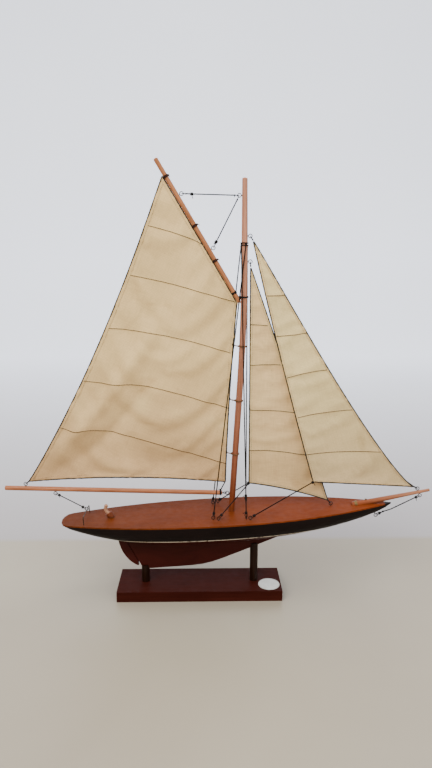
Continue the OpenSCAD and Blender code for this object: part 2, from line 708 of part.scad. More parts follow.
// The mainsheet's lower ring runs on the horse's bar
horse_x = -133;
bar_d = 1;
ring_back = 0.7;             // the ring's centre is pulled off the bar by this much
function to_rig(p) =
    let (q = p - mast_foot, c = cos(mast_rake), s = sin(mast_rake))
    let (m = [q.x * c - q.z * s, q.y, q.x * s + q.z * c])
    [m.x * cos(boom_rest) - m.y * sin(boom_rest), m.x * sin(boom_rest) + m.y * cos(boom_rest), m.z];
function from_boat(p) = [p.x * cos(trim) - p.z * sin(trim), p.y,
    deck_h + p.x * sin(trim) + p.z * cos(trim)];
bar_y = (mast_x - horse_x) * sin(boom_rest);
bar_pt = to_rig(from_boat([horse_x, bar_y, horse_h]));
sheet_dir = unit(sheet_eye - bar_pt);
ring_c = bar_pt + sheet_dir * ring_back;
module traveller_ring() { color(steel) on_rig() translate(ring_c) rotate([90, 0, 0]) torus(eye_r, eye_wire); }
module main_sheet() { color(twine) on_rig() lanyard(ring_c, sheet_eye, [0, 1, 0], [0, 1, 0]); }
bend_r = 2;
module sheet_horse() {
    color(steel) on_boat() translate([horse_x, 0, 0]) {
        translate([0, -horse_w + bend_r, horse_h]) rotate([-90, 0, 0])
            cylinder(h = 2 * (horse_w - bend_r), d = bar_d);
        for (s = [-1, 1]) {
            translate([0, s * horse_w, -deck_t]) cylinder(h = horse_h - bend_r + deck_t, d = bar_d);
            translate([0, s * (horse_w - bend_r), horse_h - bend_r])
                rotate([90, 0, s > 0 ? 90 : -90]) rotate([0, 0, 0])
                rotate_extrude(angle = 90) translate([bend_r, 0]) circle(d = bar_d, $fn = 24);
        }
    }
}

// ---------- rudder ----------
blade_top = 23.5;
stock_up = 6;
module rudder_blade() {
    color(bottom_paint) on_boat() difference() {
        union() {
            upright(blade_t) intersection() {
                polygon(keel_outline);
                aft_of_stock(0);
                translate([-120, -keel_drop + 4.5]) square([80, keel_drop - 4.5 - blade_top]);
            }
            on_stock() translate([0, 0, -65]) cylinder(h = 65 - blade_top / cos(rudder_rake) - 2, d = blade_t);
        }
        on_stock() translate([0, 0, -70]) cylinder(h = 80, d = stock_d);
    }
}
module rudder_stock() {
    color(brass) on_boat() on_stock() translate([0, 0, -60]) cylinder(h = 60 + stock_up, d = stock_d);
}
head_d = 8;
head_gap = 1.1;              // the head's level foot stands this far above the deck
module rudder_head() {
    color(varnish) on_boat() difference() {
        on_stock() translate([0, 0, -3]) cylinder(h = stock_up + 3.4, d = head_d);
        on_stock() translate([0, 0, -4]) cylinder(h = stock_up + 4, d = stock_d);
        translate([rudder_x - 20, -20, head_gap - 20]) cube([40, 40, 20]);
    }
}
// A short thick handle that curves up and aft to a round knob
tiller_r = 6.5;
tiller_d = 4;
tiller_from = 150;
tiller_turn = 92;
module tiller() {
    color(varnish) on_boat() difference() {
        translate([rudder_x + 0.6, 0, stock_up + 5]) rotate([90, 0, 0]) {
            rotate([0, 0, tiller_from]) rotate_extrude(angle = tiller_turn)
                translate([tiller_r, 0]) circle(d = tiller_d, $fn = 24);
            translate([tiller_r * cos(tiller_from), tiller_r * sin(tiller_from), 0])
                sphere(d = tiller_d + 0.6, $fn = 32);
        }
        on_stock() translate([0, 0, -20]) cylinder(h = stock_up + 20.4, d = 40);
    }
}

stand_base();
stand_post_fore();
stand_post_aft();
round_label();
hull_topsides();
hull_bottom();
waterline_stripe();
stem_cap();
deck();
keel();
mast_step();
rudder_tube();
mast();
mast_eyes();
bowsprit();
bowsprit_collar();
bowsprit_pin();
bowsprit_eyes();
stem_eye();
shroud_eyes();
sheet_eyes();
staysail_tack_eye();
sheet_horse();
shroud_starboard();
shroud_port();
bobstay();
jib();
jib_ties();
jib_sheet();
staysail();
staysail_ties();
staysail_sheet_starboard();
staysail_sheet_port();
boom();
gooseneck_eye();
boom_eyes();
gaff();
gaff_eyes();
mainsail();
mast_lashings();
gaff_lashings();
throat_lashing();
tack_tie();
clew_tie();
peak_halyard();
main_sheet();
traveller_ring();
rudder_blade();
rudder_stock();
rudder_head();
tiller();
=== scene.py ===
# Gaff cutter display yacht: its looks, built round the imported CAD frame.
# Shapes are worked out in millimetres in the CAD's own frame and become metres in Build.make().
import math

import bpy
import numpy as np
from mathutils import Euler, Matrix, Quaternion, Vector


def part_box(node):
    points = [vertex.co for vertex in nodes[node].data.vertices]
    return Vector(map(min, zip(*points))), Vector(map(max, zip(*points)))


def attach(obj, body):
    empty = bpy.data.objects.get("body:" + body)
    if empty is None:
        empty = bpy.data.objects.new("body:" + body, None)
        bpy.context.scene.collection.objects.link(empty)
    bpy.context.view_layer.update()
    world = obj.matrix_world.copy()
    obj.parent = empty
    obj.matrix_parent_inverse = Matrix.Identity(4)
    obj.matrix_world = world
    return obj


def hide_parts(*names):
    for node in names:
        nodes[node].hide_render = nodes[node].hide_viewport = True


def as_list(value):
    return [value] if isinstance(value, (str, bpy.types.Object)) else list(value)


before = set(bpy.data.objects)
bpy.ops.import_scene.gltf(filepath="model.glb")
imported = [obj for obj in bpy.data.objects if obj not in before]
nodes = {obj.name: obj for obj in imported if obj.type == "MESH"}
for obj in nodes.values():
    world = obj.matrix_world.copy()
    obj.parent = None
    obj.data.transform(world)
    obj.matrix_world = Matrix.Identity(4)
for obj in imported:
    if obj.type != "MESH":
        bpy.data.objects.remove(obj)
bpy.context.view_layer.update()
MM = 0.001


# ---------------------------------------------------------------- vectors and frames
def vec(*p):
    return np.array(p, float)


def unit(v):
    return v / np.linalg.norm(v)


def side_of(u, s):
    return unit(u - s * np.dot(u, s))


TRIM = math.radians(2.88)
RAKE = math.radians(1.82)
SWING = math.radians(2.2)
FOOT = vec(38.4, 0, 102)


def boat(x, y, z):
    c, s = math.cos(TRIM), math.sin(TRIM)
    return vec(x * c - z * s, y, 100 + x * s + z * c)


def on_mast(a, y, h):
    c, s = math.cos(RAKE), math.sin(RAKE)
    return FOOT + vec(a * c + h * s, y, h * c - a * s)


def rig(a, y, h):
    c, s = math.cos(SWING), math.sin(SWING)
    return on_mast(a * c + y * s, y * c - a * s, h)


def deck_z(x):
    return 100 + x * math.tan(TRIM)


# The mast bows forward off the straight line through its foot and top: it leans forward up to
# BEND_FROM, curves up to BEND_TO, and leans back above that
MAST_BOW, MAST_BACK = math.radians(1.45), math.radians(2.25)
BEND_FROM, BEND_TO, FOOT_A = 156, 289, -0.9
BOW_R = (BEND_TO - BEND_FROM) / (math.sin(MAST_BOW) + math.sin(MAST_BACK))
ARC_A = FOOT_A + BEND_FROM * math.tan(MAST_BOW) - BOW_R * math.cos(MAST_BOW)
ARC_H = BEND_FROM + BOW_R * math.sin(MAST_BOW)


def mast_a(h):
    if h < BEND_FROM:
        return FOOT_A + h * math.tan(MAST_BOW)
    if h < BEND_TO:
        return ARC_A + math.sqrt(BOW_R**2 - (h - ARC_H) ** 2)
    return ARC_A + BOW_R * math.cos(MAST_BACK) - (h - BEND_TO) * math.tan(MAST_BACK)


def mast_r(h):
    return 3.6 if h < BEND_TO else (7.2 - 1.4 * (h - BEND_TO) / 85) / 2


# ---------------------------------------------------------------- node materials
def linear(r, g, b):
    def one(c):
        c = c / 255
        return c / 12.92 if c <= 0.04045 else ((c + 0.055) / 1.055) ** 2.4

    return (one(r), one(g), one(b), 1.0)


class Shade:
    """A material's node tree, built up one node at a time."""

    def __init__(self, name, **sockets):
        self.material = bpy.data.materials.new(name)
        self.material.use_nodes = True
        self.tree = self.material.node_tree
        self.tree.nodes.clear()
        self.out = self.tree.nodes.new("ShaderNodeOutputMaterial")
        self.bsdf = self.tree.nodes.new("ShaderNodeBsdfPrincipled")
        self.link(self.bsdf.outputs["BSDF"], self.out.inputs["Surface"])
        for key, value in sockets.items():
            self.bsdf.inputs[key.replace("_", " ")].default_value = value
        self.coord = self.tree.nodes.new("ShaderNodeTexCoord")

    def link(self, a, b):
        self.tree.links.new(a, b)

    def put(self, value, socket):
        if hasattr(value, "links"):
            self.link(value, socket)
        else:
            socket.default_value = (*value, 1) if isinstance(value, tuple) and len(value) == 3 else value

    def node(self, kind, vector, **sockets):
        n = self.tree.nodes.new("ShaderNode" + kind)
        self.link(vector, n.inputs["Vector"])
        for key, value in sockets.items():
            n.inputs[key].default_value = value
        return n

    def place(self, scale=(1, 1, 1), turn=(0, 0, 0), shift=(0, 0, 0)):
        """Object coordinates, turned and then scaled."""
        turn = [math.radians(t) for t in turn]
        turned = self.node("Mapping", self.coord.outputs["Object"], Rotation=turn).outputs["Vector"]
        return self.node("Mapping", turned, Scale=scale, Location=shift).outputs["Vector"]

    def noise(self, vector, scale=1.0, detail=4.0, rough=0.55, distort=0.0):
        sockets = {"Scale": scale, "Detail": detail, "Roughness": rough, "Distortion": distort}
        return self.node("TexNoise", vector, **sockets).outputs["Fac"]

    def bands(self, vector, scale=1.0, distort=0.0, detail=2.0, axis="X"):
        n = self.node("TexWave", vector, Scale=scale, Distortion=distort, Detail=detail)
        n.bands_direction = axis
        return n.outputs["Fac"]

    def spots(self, vector, scale=1.0):
        return self.node("TexVoronoi", vector, Scale=scale).outputs["Distance"]

    def part(self, vector, axis):
        return self.node("SeparateXYZ", vector).outputs[axis]

    def steps(self, fac, *stops):
        """A colour ramp; each stop is (place, colour)."""
        n = self.tree.nodes.new("ShaderNodeValToRGB")
        ramp = n.color_ramp
        while len(ramp.elements) < len(stops):
            ramp.elements.new(0.5)
        for e, (at, colour) in zip(ramp.elements, sorted(stops, key=lambda s: s[0])):
            e.position = at
            e.color = colour if len(colour) == 4 else (*colour, 1)
        self.link(fac, n.inputs["Fac"])
        return n.outputs["Color"]

    def remap(self, fac, a, b, c, d):
        n = self.tree.nodes.new("ShaderNodeMapRange")
        self.link(fac, n.inputs["Value"])
        for key, value in (("From Min", a), ("From Max", b), ("To Min", c), ("To Max", d)):
            n.inputs[key].default_value = value
        return n.outputs["Result"]

    def mix(self, fac, a, b, mode="MIX"):
        n = self.tree.nodes.new("ShaderNodeMix")
        n.data_type = "RGBA"
        n.blend_type = mode
        self.put(fac, n.inputs["Factor"])
        self.put(a, n.inputs[6])
        self.put(b, n.inputs[7])
        return n.outputs[2]

    def math(self, op, a, b=0.0):
        n = self.tree.nodes.new("ShaderNodeMath")
        n.operation = op
        self.put(a, n.inputs[0])
        self.put(b, n.inputs[1])
        return n.outputs[0]

    def bump(self, height, strength, distance, under=None):
        n = self.tree.nodes.new("ShaderNodeBump")
        n.inputs["Strength"].default_value = strength
        n.inputs["Distance"].default_value = distance
        self.link(height, n.inputs["Height"])
        if under is not None:
            self.link(under, n.inputs["Normal"])
        return n.outputs["Normal"]

    def finish(self, colour, rough, normal=None, coat_normal=None):
        """Links what is given to the shader, and returns the material."""
        wanted = {"Base Color": colour, "Roughness": rough, "Normal": normal, "Coat Normal": coat_normal}
        for key, value in wanted.items():
            if value is not None:
                self.link(value, self.bsdf.inputs[key])
        return self.material


def wood(name, dark, mid, light, turn=(0, 0, 0), rough=0.4, coat=0.04, coat_rough=0.15, spec=0.15,
         streak=1.0, pores=0.5, ring=0.35, ends=None, depth=0.00006):
    """Varnished timber whose grain runs along X after the turn."""
    s = Shade(name, Coat_Weight=coat, Coat_Roughness=coat_rough, Specular_IOR_Level=spec)
    fine = s.noise(s.place((26, 950 * streak, 950 * streak), turn), 1, 6, 0.62, 0.25)
    broad = s.noise(s.place((7, 95 * streak, 95 * streak), turn, (3.1, 0.4, 1.7)), 1, 3, 0.5, 0.9)
    rings = s.bands(s.place((5, 150 * streak, 110 * streak), turn), 1.0, 5.5, 2.5, "Y")
    flecks = s.noise(s.place((120, 2600, 2600), turn, (0.7, 5.2, 0.3)), 1, 2, 0.6)
    cloudy = s.noise(s.place((22, 28, 28), turn, (1.3, 0.2, 4.7)), 1, 3, 0.5, 0.4)
    colour = s.steps(s.mix(ring, fine, rings), (0.25, dark), (0.5, mid), (0.78, light))
    streaks = s.steps(fine, (0.2, dark), (0.8, mid))
    colour = s.mix(s.remap(broad, 0.32, 0.72, 0.0, 0.55), colour, streaks)
    shade = s.steps(cloudy, (0.3, (0.80, 0.78, 0.76)), (0.7, (1.0, 1.0, 1.0)))
    colour = s.mix(1.0, colour, shade, "MULTIPLY")
    pore = s.steps(flecks, (0.30, (0.42, 0.36, 0.33)), (0.42, (1, 1, 1)))
    colour = s.mix(pores, colour, pore, "MULTIPLY")
    if ends is not None:
        low, high, tint_low, tint_high = ends
        along = s.remap(s.part(s.place((1, 1, 1), turn), 0), low, high, 0.0, 1.0)
        colour = s.mix(1.0, colour, s.steps(along, (0.0, tint_low), (1.0, tint_high)), "MULTIPLY")
    wear = s.noise(s.place((150, 150, 150), shift=(2, 7, 1)), 1, 5, 0.6)
    worn = s.math("ADD", wear, s.math("MULTIPLY", fine, 0.5))
    roughness = s.remap(worn, 0.5, 1.0, rough - 0.08, rough + 0.14)
    normal = s.bump(s.math("ADD", fine, s.math("MULTIPLY", pore, 0.6)), 0.35, depth)
    wavy = s.bump(s.noise(s.place((60, 140, 140), turn, (9, 1, 2)), 1, 2, 0.4), 0.12, 0.0002)
    return s.finish(colour, roughness, normal, wavy)


def paint(name, base, worn, rough=0.38, coat=0.03, coat_rough=0.15, spec=0.14, chips=0.0, under=None,
          brush=0.15, dusty=(0.05, 0.04, 0.033)):
    """Brushed gloss paint with faint brush marks, dust and small worn places."""
    s = Shade(name, Coat_Weight=coat, Coat_Roughness=coat_rough, Specular_IOR_Level=spec)
    strokes = s.noise(s.place((14, 520, 700)), 1, 5, 0.6, 0.1)
    cloudy = s.noise(s.place((26, 40, 60), shift=(4, 2, 8)), 1, 4, 0.55, 0.5)
    dust = s.noise(s.place((1500, 1500, 1500)), 1, 2, 0.7)
    colour = s.steps(cloudy, (0.3, base), (0.75, worn))
    colour = s.mix(s.remap(dust, 0.62, 0.80, 0.0, 0.25), colour, dusty)
    colour = s.mix(s.remap(strokes, 0.35, 0.75, 0.0, 0.25), colour, worn)
    height = s.math("ADD", s.math("MULTIPLY", strokes, 0.7), s.math("MULTIPLY", cloudy, 0.3))
    if chips:
        spot = s.noise(s.place((260, 260, 900), shift=(1, 3, 5)), 1, 4, 0.6, 0.4)
        gone = s.remap(spot, 0.66 - chips, 0.70 - chips, 0.0, 1.0)
        colour = s.mix(gone, colour, under)
        height = s.math("SUBTRACT", height, s.math("MULTIPLY", gone, 0.8))
    roughness = s.remap(s.math("ADD", cloudy, strokes), 0.6, 1.3, rough - 0.08, rough + 0.12)
    normal = s.bump(height, brush, 0.00012)
    return s.finish(colour, roughness, normal, normal)


def metal(name, clean, dull, rough=0.32):
    """Drawn wire or sheet metal that has dulled with handling."""
    s = Shade(name, Metallic=1.0)
    film = s.noise(s.place((420, 420, 420)), 1, 5, 0.6, 0.6)
    drawn = s.noise(s.place((2600, 2600, 900)), 1, 3, 0.6)
    pits = s.spots(s.place((1900, 1900, 1900)), 1)
    colour = s.steps(film, (0.34, clean), (0.70, dull))
    colour = s.mix(s.remap(pits, 0.05, 0.22, 0.35, 0.0), colour, (0.02, 0.014, 0.009))
    uneven = s.math("ADD", film, s.math("MULTIPLY", drawn, 0.4))
    roughness = s.remap(uneven, 0.4, 1.0, rough - 0.08, rough + 0.22)
    normal = s.bump(s.math("ADD", drawn, s.math("MULTIPLY", pits, 0.4)), 0.25, 0.00005)
    return s.finish(colour, roughness, normal)


def cordage(name, dark, mid, pale, rough=0.85):
    """Spun fibre: uneven colour along the strand and fuzz in its bump."""
    s = Shade(name, Sheen_Weight=0.02, Sheen_Roughness=0.5, Specular_IOR_Level=0.15)
    fibre = s.noise(s.place((2400, 2400, 2400)), 1, 4, 0.65, 1.2)
    age = s.noise(s.place((160, 160, 160), shift=(5, 5, 2)), 1, 3, 0.5)
    colour = s.steps(s.mix(0.45, fibre, age), (0.32, dark), (0.52, mid), (0.74, pale))
    roughness = s.remap(fibre, 0.3, 0.7, rough - 0.1, rough + 0.1)
    normal = s.bump(fibre, 0.5, 0.00008)
    return s.finish(colour, roughness, normal)


def canvas(name, weft, low, high, z_low, z_high):
    """Plain-woven cotton, stiffened with size, with aged blotches and stains; darker and rosier towards
    the foot, paler at the head.
    weft turns the threads about Y."""
    s = Shade(name, Sheen_Weight=0.04, Sheen_Roughness=0.45, Specular_IOR_Level=0.2)
    over = s.bands(s.place((205, 205, 205), (0, weft, 0)), 1.0, 0.9, 1.5, "X")
    under = s.bands(s.place((190, 190, 190), (0, weft, 0)), 1.0, 0.9, 1.5, "Z")
    weave = s.math("MULTIPLY", over, under)
    slub_a = s.noise(s.place((55, 700, 900), (0, weft, 0), (3, 0, 1)), 1, 4, 0.65)
    slub_b = s.noise(s.place((900, 700, 48), (0, weft, 0), (0, 1, 6)), 1, 4, 0.65)
    age = s.noise(s.place((9, 9, 9), shift=(1.4, 0.3, 0.9)), 1, 4, 0.55, 0.6)
    stain = s.noise(s.place((24, 30, 24), shift=(0.2, 4.1, 2.2)), 1, 5, 0.6, 0.9)
    height = s.remap(s.part(s.place(), 2), z_low, z_high, 0.0, 1.0)
    height = s.math("ADD", height, s.remap(age, 0.3, 0.7, -0.14, 0.14))
    colour = s.steps(height, (0.0, low), (1.0, high))
    blotch = s.steps(age, (0.34, (0.93, 0.91, 0.88)), (0.52, (1.0, 0.97, 0.96)), (0.70, (1.0, 1.0, 1.0)))
    colour = s.mix(1.0, colour, blotch, "MULTIPLY")
    thread = s.math("ADD", s.math("MULTIPLY", slub_a, 0.5), s.math("MULTIPLY", slub_b, 0.5))
    slubs = s.steps(thread, (0.36, (0.86, 0.85, 0.83)), (0.62, (1.0, 1.0, 1.0)))
    colour = s.mix(1.0, colour, slubs, "MULTIPLY")
    # painted shade: the low places of the weave, between the threads, are darkened
    colour = s.mix(0.5, colour, s.steps(weave, (0.0, (0.80, 0.78, 0.74)), (0.5, (1, 1, 1))), "MULTIPLY")
    spot = s.remap(stain, 0.60, 0.76, 0.0, 0.5)
    colour = s.mix(spot, colour, s.mix(1.0, colour, (0.70, 0.62, 0.52), "MULTIPLY"))
    foxing = s.noise(s.place((310, 310, 310), shift=(7, 2, 4)), 1, 2, 0.5)
    colour = s.mix(s.remap(foxing, 0.74, 0.80, 0.0, 0.35), colour, (0.19, 0.11, 0.05))
    roughness = s.remap(thread, 0.35, 0.65, 0.86, 0.72)
    crumple = s.noise(s.place((38, 38, 38), shift=(2, 2, 2)), 1, 3, 0.5, 1.2)
    soft = s.bump(crumple, 0.12, 0.0012)
    normal = s.bump(s.math("ADD", weave, s.math("MULTIPLY", thread, 0.8)), 0.4, 0.00012, soft)
    return s.finish(colour, roughness, normal)


def paper(name):
    """Coated, handled paper with a little tooth and faint soiling; painted shade darkens it towards its
    rim, as on a curled edge.
    """
    s = Shade(name, IOR=1.45, Coat_Weight=0.15, Coat_Roughness=0.3)
    tooth = s.noise(s.place((2200, 2200, 2200)), 1, 4, 0.6)
    soil = s.noise(s.place((140, 140, 140)), 1, 4, 0.6, 0.5)
    lo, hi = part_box("round_label")
    mid = (lo + hi) / 2
    radius = (hi.x - lo.x) / 2
    shifted = s.place((1 / radius, 1 / radius, 0), shift=(-mid.x / radius, -mid.y / radius, 0))
    n = s.tree.nodes.new("ShaderNodeVectorMath")
    n.operation = "LENGTH"
    s.link(shifted, n.inputs[0])
    # painted shade: the paper is darkened towards its rim
    rim = s.remap(n.outputs["Value"], 0.86, 1.0, 0.0, 1.0)
    colour = s.steps(soil, (0.35, linear(190, 188, 180)), (0.7, linear(206, 205, 200)))
    colour = s.mix(s.math("MULTIPLY", rim, 0.6), colour, linear(150, 140, 124))
    normal = s.bump(tooth, 0.2, 0.00005)
    return s.finish(colour, s.remap(tooth, 0.3, 0.7, 0.40, 0.55), normal)


def shades(r, g, b, spread=1.5):
    """Dark, middle and light linear colours round one middle colour."""
    dark = (r / spread, g / spread**1.2, b / spread**1.3)
    return dark, (r, g, b), (r * spread, g * spread, b * spread)


# Grain directions: along X for the boat's timber, along Z for the mast, and so on
UPRIGHT = (0, 90, 0)
SPAR = {"rough": 0.42, "ring": 0.25, "pores": 0.35, "streak": 1.5}
M = {
    "mahogany": wood("mahogany_gloss", *shades(0.043, 0.0080, 0.0048), rough=0.5, coat=0.0,
                     spec=0.02, ring=0.45),
    "mahogany_post": wood("mahogany_posts", *shades(0.016, 0.0058, 0.0026), turn=UPRIGHT,
                          rough=0.36, spec=0.1),
    "deck": wood("deck_varnish", *shades(0.185, 0.036, 0.0068, 1.4), rough=0.46, coat=0.0,
                 spec=0.03, ring=0.22, pores=0.35,
                 ends=(-0.165, 0.20, (0.62, 0.78, 1.0), (1.0, 1.0, 1.0))),
    "mast": wood("mast_varnish", *shades(0.50, 0.225, 0.135, 1.45), turn=UPRIGHT, **SPAR,
                 ends=(0.12, 0.40, (0.32, 0.16, 0.075), (1.0, 1.0, 1.0))),
    "boom": wood("boom_varnish", *shades(0.37, 0.132, 0.056, 1.35), **SPAR),
    "gaff": wood("gaff_varnish", *shades(0.40, 0.155, 0.062, 1.35), turn=(0, -57.1, 0), **SPAR),
    "sprit": wood("bowsprit_varnish", *shades(0.36, 0.150, 0.078, 1.35), turn=(0, 11.6, 0), **SPAR,
                  ends=(0.21, 0.27, (0.62, 0.34, 0.16), (1.0, 1.0, 1.0))),
    "head": wood("rudder_head_varnish", *shades(0.15, 0.040, 0.016), rough=0.45, spec=0.05,
                 ring=0.3, streak=1.8),
    "tiller": wood("tiller_varnish", *shades(0.40, 0.205, 0.120), rough=0.4, ring=0.3, streak=1.8),
    "topside": paint("topside_paint", (0.0036, 0.0018, 0.0016), (0.0075, 0.0036, 0.0030),
                     rough=0.36, spec=0.07, dusty=(0.02, 0.016, 0.014)),
    "bottom": paint("bottom_paint", (0.026, 0.0026, 0.0015), (0.044, 0.0056, 0.0034), spec=0.08),
    "stripe": paint("stripe_paint", (0.52, 0.46, 0.36), (0.42, 0.35, 0.26), rough=0.5, chips=0.10,
                    under=(0.045, 0.018, 0.013), dusty=(0.24, 0.20, 0.16)),
    "brass": metal("brass", (0.24, 0.15, 0.055), (0.09, 0.055, 0.024), 0.42),
    "wire": metal("dark_wire", (0.075, 0.056, 0.038), (0.022, 0.016, 0.011), 0.45),
    "steel": metal("eye_metal", (0.030, 0.021, 0.013), (0.012, 0.0085, 0.0055), 0.45),
    "twine": cordage("twine", (0.0022, 0.0016, 0.0014), (0.0052, 0.0040, 0.0034), (0.016, 0.012, 0.010)),
    "brown_twine": cordage("brown_twine", (0.012, 0.0042, 0.0026), (0.034, 0.0120, 0.0072),
                           (0.085, 0.034, 0.021)),
    "tan_twine": cordage("tan_twine", (0.062, 0.026, 0.010), (0.155, 0.074, 0.030), (0.29, 0.155, 0.074)),
    "bolt_rope": cordage("bolt_rope", (0.010, 0.0080, 0.0062), (0.028, 0.0225, 0.0175),
                         (0.070, 0.058, 0.045)),
    "thread": cordage("seam_thread", (0.008, 0.0050, 0.0030), (0.021, 0.0135, 0.0085),
                      (0.048, 0.033, 0.021)),
    "main_cloth": canvas("sailcloth_main", -22, (0.53, 0.330, 0.160), (0.86, 0.62, 0.285), 0.12, 0.29),
    "jib_cloth": canvas("sailcloth_jib", 16, (0.56, 0.410, 0.215), (0.86, 0.68, 0.325), 0.13, 0.27),
    "stay_cloth": canvas("sailcloth_staysail", 4, (0.64, 0.440, 0.212), (0.88, 0.62, 0.300), 0.13, 0.28),
    "main_tape": canvas("hem_tape_main", -22, (0.50, 0.308, 0.148), (0.82, 0.585, 0.268), 0.12, 0.29),
    "fore_tape": canvas("hem_tape_foresails", 10, (0.56, 0.400, 0.205), (0.82, 0.610, 0.295), 0.13, 0.27),
    "paper": paper("label_paper"),
}


def smooth(obj, angle=38):
    obj.data.polygons.foreach_set("use_smooth", [True] * len(obj.data.polygons))
    if hasattr(obj.data, "set_sharp_from_angle"):
        obj.data.set_sharp_from_angle(angle=math.radians(angle))


def dress(name, key):
    obj = nodes[name]
    obj.data.materials.clear()
    obj.data.materials.append(M[key])
    smooth(obj)


LOOKS = {
    "mahogany": ["stand_base"],
    "mahogany_post": ["stand_post_fore", "stand_post_aft"],
    "paper": ["round_label"],
    "topside": ["hull_topsides", "stem_cap"],
    "bottom": ["hull_bottom", "keel", "rudder_blade"],
    "stripe": ["waterline_stripe"],
    "deck": ["deck"],
    "sprit": ["mast_step", "bowsprit"],
    "brass": ["rudder_tube", "bowsprit_collar", "bowsprit_pin", "rudder_stock"],
    "mast": ["mast"],
    "steel": ["mast_eyes", "bowsprit_eyes", "stem_eye", "shroud_eyes", "sheet_eyes",
              "staysail_tack_eye", "gooseneck_eye", "boom_eyes", "gaff_eyes", "traveller_ring"],
    "wire": ["sheet_horse"],
    "boom": ["boom"],
    "gaff": ["gaff"],
    "head": ["rudder_head"],
    "tiller": ["tiller"],
}
for key, names in LOOKS.items():
    for name in names:
        dress(name, key)


# ---------------------------------------------------------------- meshes
class Build:
    """Collects vertices (mm) and faces for one piece."""

    def __init__(self):
        self.v, self.f = [], []

    def add(self, v, f):
        base = sum(len(x) for x in self.v)
        self.v.append(np.asarray(v, float))
        self.f.extend(tuple(i + base for i in face) for face in f)

    def make(self, name, material, body, slot, replaces=()):
        mesh = bpy.data.meshes.new(name)
        mesh.from_pydata((np.vstack(self.v) * MM).tolist(), [], self.f)
        mesh.update()
        mesh.polygons.foreach_set("use_smooth", [True] * len(mesh.polygons))
        obj = bpy.data.objects.new(name, mesh)
        bpy.context.scene.collection.objects.link(obj)
        mesh.materials.append(material)
        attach(obj, body)
        if replaces:
            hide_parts(*replaces)
        return obj


def off_axis(u):
    """Y, or Z where u lies near Y."""
    return vec(0, 1, 0) if abs(u[1]) < 0.8 else vec(0, 0, 1)


def curve_points(points, step, closed=False):
    """A smooth curve through the points, sampled about every step mm."""
    p = np.asarray(points, float)
    n = len(p)
    if n == 2 and not closed:
        count = max(2, int(np.linalg.norm(p[1] - p[0]) / step) + 1)
        t = np.linspace(0, 1, count)[:, None]
        return p[0] * (1 - t) + p[1] * t
    out = []
    spans = n if closed else n - 1
    for i in range(spans):
        a, b = p[i % n], p[(i + 1) % n]
        before = p[(i - 1) % n] if closed or i > 0 else 2 * a - b
        after = p[(i + 2) % n] if closed or i + 2 < n else 2 * b - a
        count = max(1, int(np.linalg.norm(b - a) / step))
        for k in range(count):
            t = k / count
            out.append(0.5 * (2 * a + (b - before) * t + (2 * before - 5 * a + 4 * b - after) * t * t
                              + (3 * a - before - 3 * b + after) * t**3))
    if not closed:
        out.append(p[-1])
    return np.array(out)


def carry(path):
    """Tangents and two normals along a path, carried without twist."""
    t = np.gradient(path, axis=0)
    t /= np.linalg.norm(t, axis=1)[:, None]
    n = [side_of(off_axis(t[0]), t[0])]
    for k in range(1, len(path)):
        n.append(side_of(n[-1], t[k]))
    n = np.array(n)
    return t, n, np.cross(t, n)


def tube(build, path, radius, sides=8):
    """A round tube along a path; radius may be one number or one for each point."""
    path = np.asarray(path, float)
    r = np.broadcast_to(np.asarray(radius, float), (len(path),))
    _, n, b = carry(path)
    a = np.arange(sides) * 2 * math.pi / sides
    ring = (n[:, None, :] * np.cos(a)[None, :, None] + b[:, None, :] * np.sin(a)[None, :, None])
    v = (path[:, None, :] + ring * r[:, None, None]).reshape(-1, 3)
    f = []
    for k in range(len(path) - 1):
        for j in range(sides):
            p, q = k * sides + j, k * sides + (j + 1) % sides
            f.append((p, q, q + sides, p + sides))
    f.append(tuple(range(sides - 1, -1, -1)))
    f.append(tuple(range((len(path) - 1) * sides, len(path) * sides)))
    build.add(v, f)


def rope(build, points, d, step=None, pitch=None, strands=3, sides=6, closed=False):
    """Laid cord: strands turning round the line through the points."""
    step = step or d * 0.55
    pitch = pitch or d * 3.2
    line = curve_points(points, step, closed)
    if closed:
        line = np.vstack([line, line[:2]])
    if len(line) < 3:
        line = curve_points(points, np.linalg.norm(line[-1] - line[0]) / 3)
    _, n, b = carry(line)
    length = np.concatenate([[0], np.cumsum(np.linalg.norm(np.diff(line, axis=0), axis=1))])
    for s in range(strands):
        turn = 2 * math.pi * (length / pitch + s / strands)
        path = line + d * 0.34 * (n * np.cos(turn)[:, None] + b * np.sin(turn)[:, None])
        tube(build, path, d * 0.38, sides)


def coil(build, centre, axis, r, turns, d, pitch=None, start=0.0, squash=1.0, across=None):
    """A winding of turns round an axis."""
    axis = unit(axis)
    e = side_of(off_axis(axis) if across is None else across, axis)
    g = np.cross(axis, e)
    pitch = pitch or d * 0.95
    count = int(turns * 16) + 1
    k = np.linspace(0, turns, count)
    a = start + 2 * math.pi * k
    path = (centre + axis * ((k - turns / 2) * pitch)[:, None]
            + r * (e * np.cos(a)[:, None] + squash * g * np.sin(a)[:, None]))
    tube(build, path, d / 2, 7)


def knot(build, centre, axis, d, size=1.0, tail=2.6, seed=0):
    """A small overhand knot on a cord: turns round it, one turn across and a cut tail."""
    axis = unit(axis)
    coil(build, centre, axis, d * 0.85 * size, 3.2, d * 0.62 * size, d * 0.6 * size, seed)
    e = side_of(off_axis(axis), axis)
    g = np.cross(axis, e)
    w = math.cos(seed) * e + math.sin(seed) * g
    cross = unit(axis * 0.8 + w * 0.6)
    coil(build, centre, cross, d * 0.95 * size, 1.05, d * 0.6 * size, 0.2, seed + 1)
    if tail:
        away = unit(w + axis * 0.5 + vec(0, 0, -0.5))
        tip = centre + w * d * 0.9
        rope(build, [tip, tip + away * tail * 0.5, tip + away * tail + vec(0, 0, -0.25 * tail)], d * 0.6)


LOOP_R, LOOP_OUT = 1.8, 2.15
KNOT_OUT = LOOP_OUT + LOOP_R + 0.8


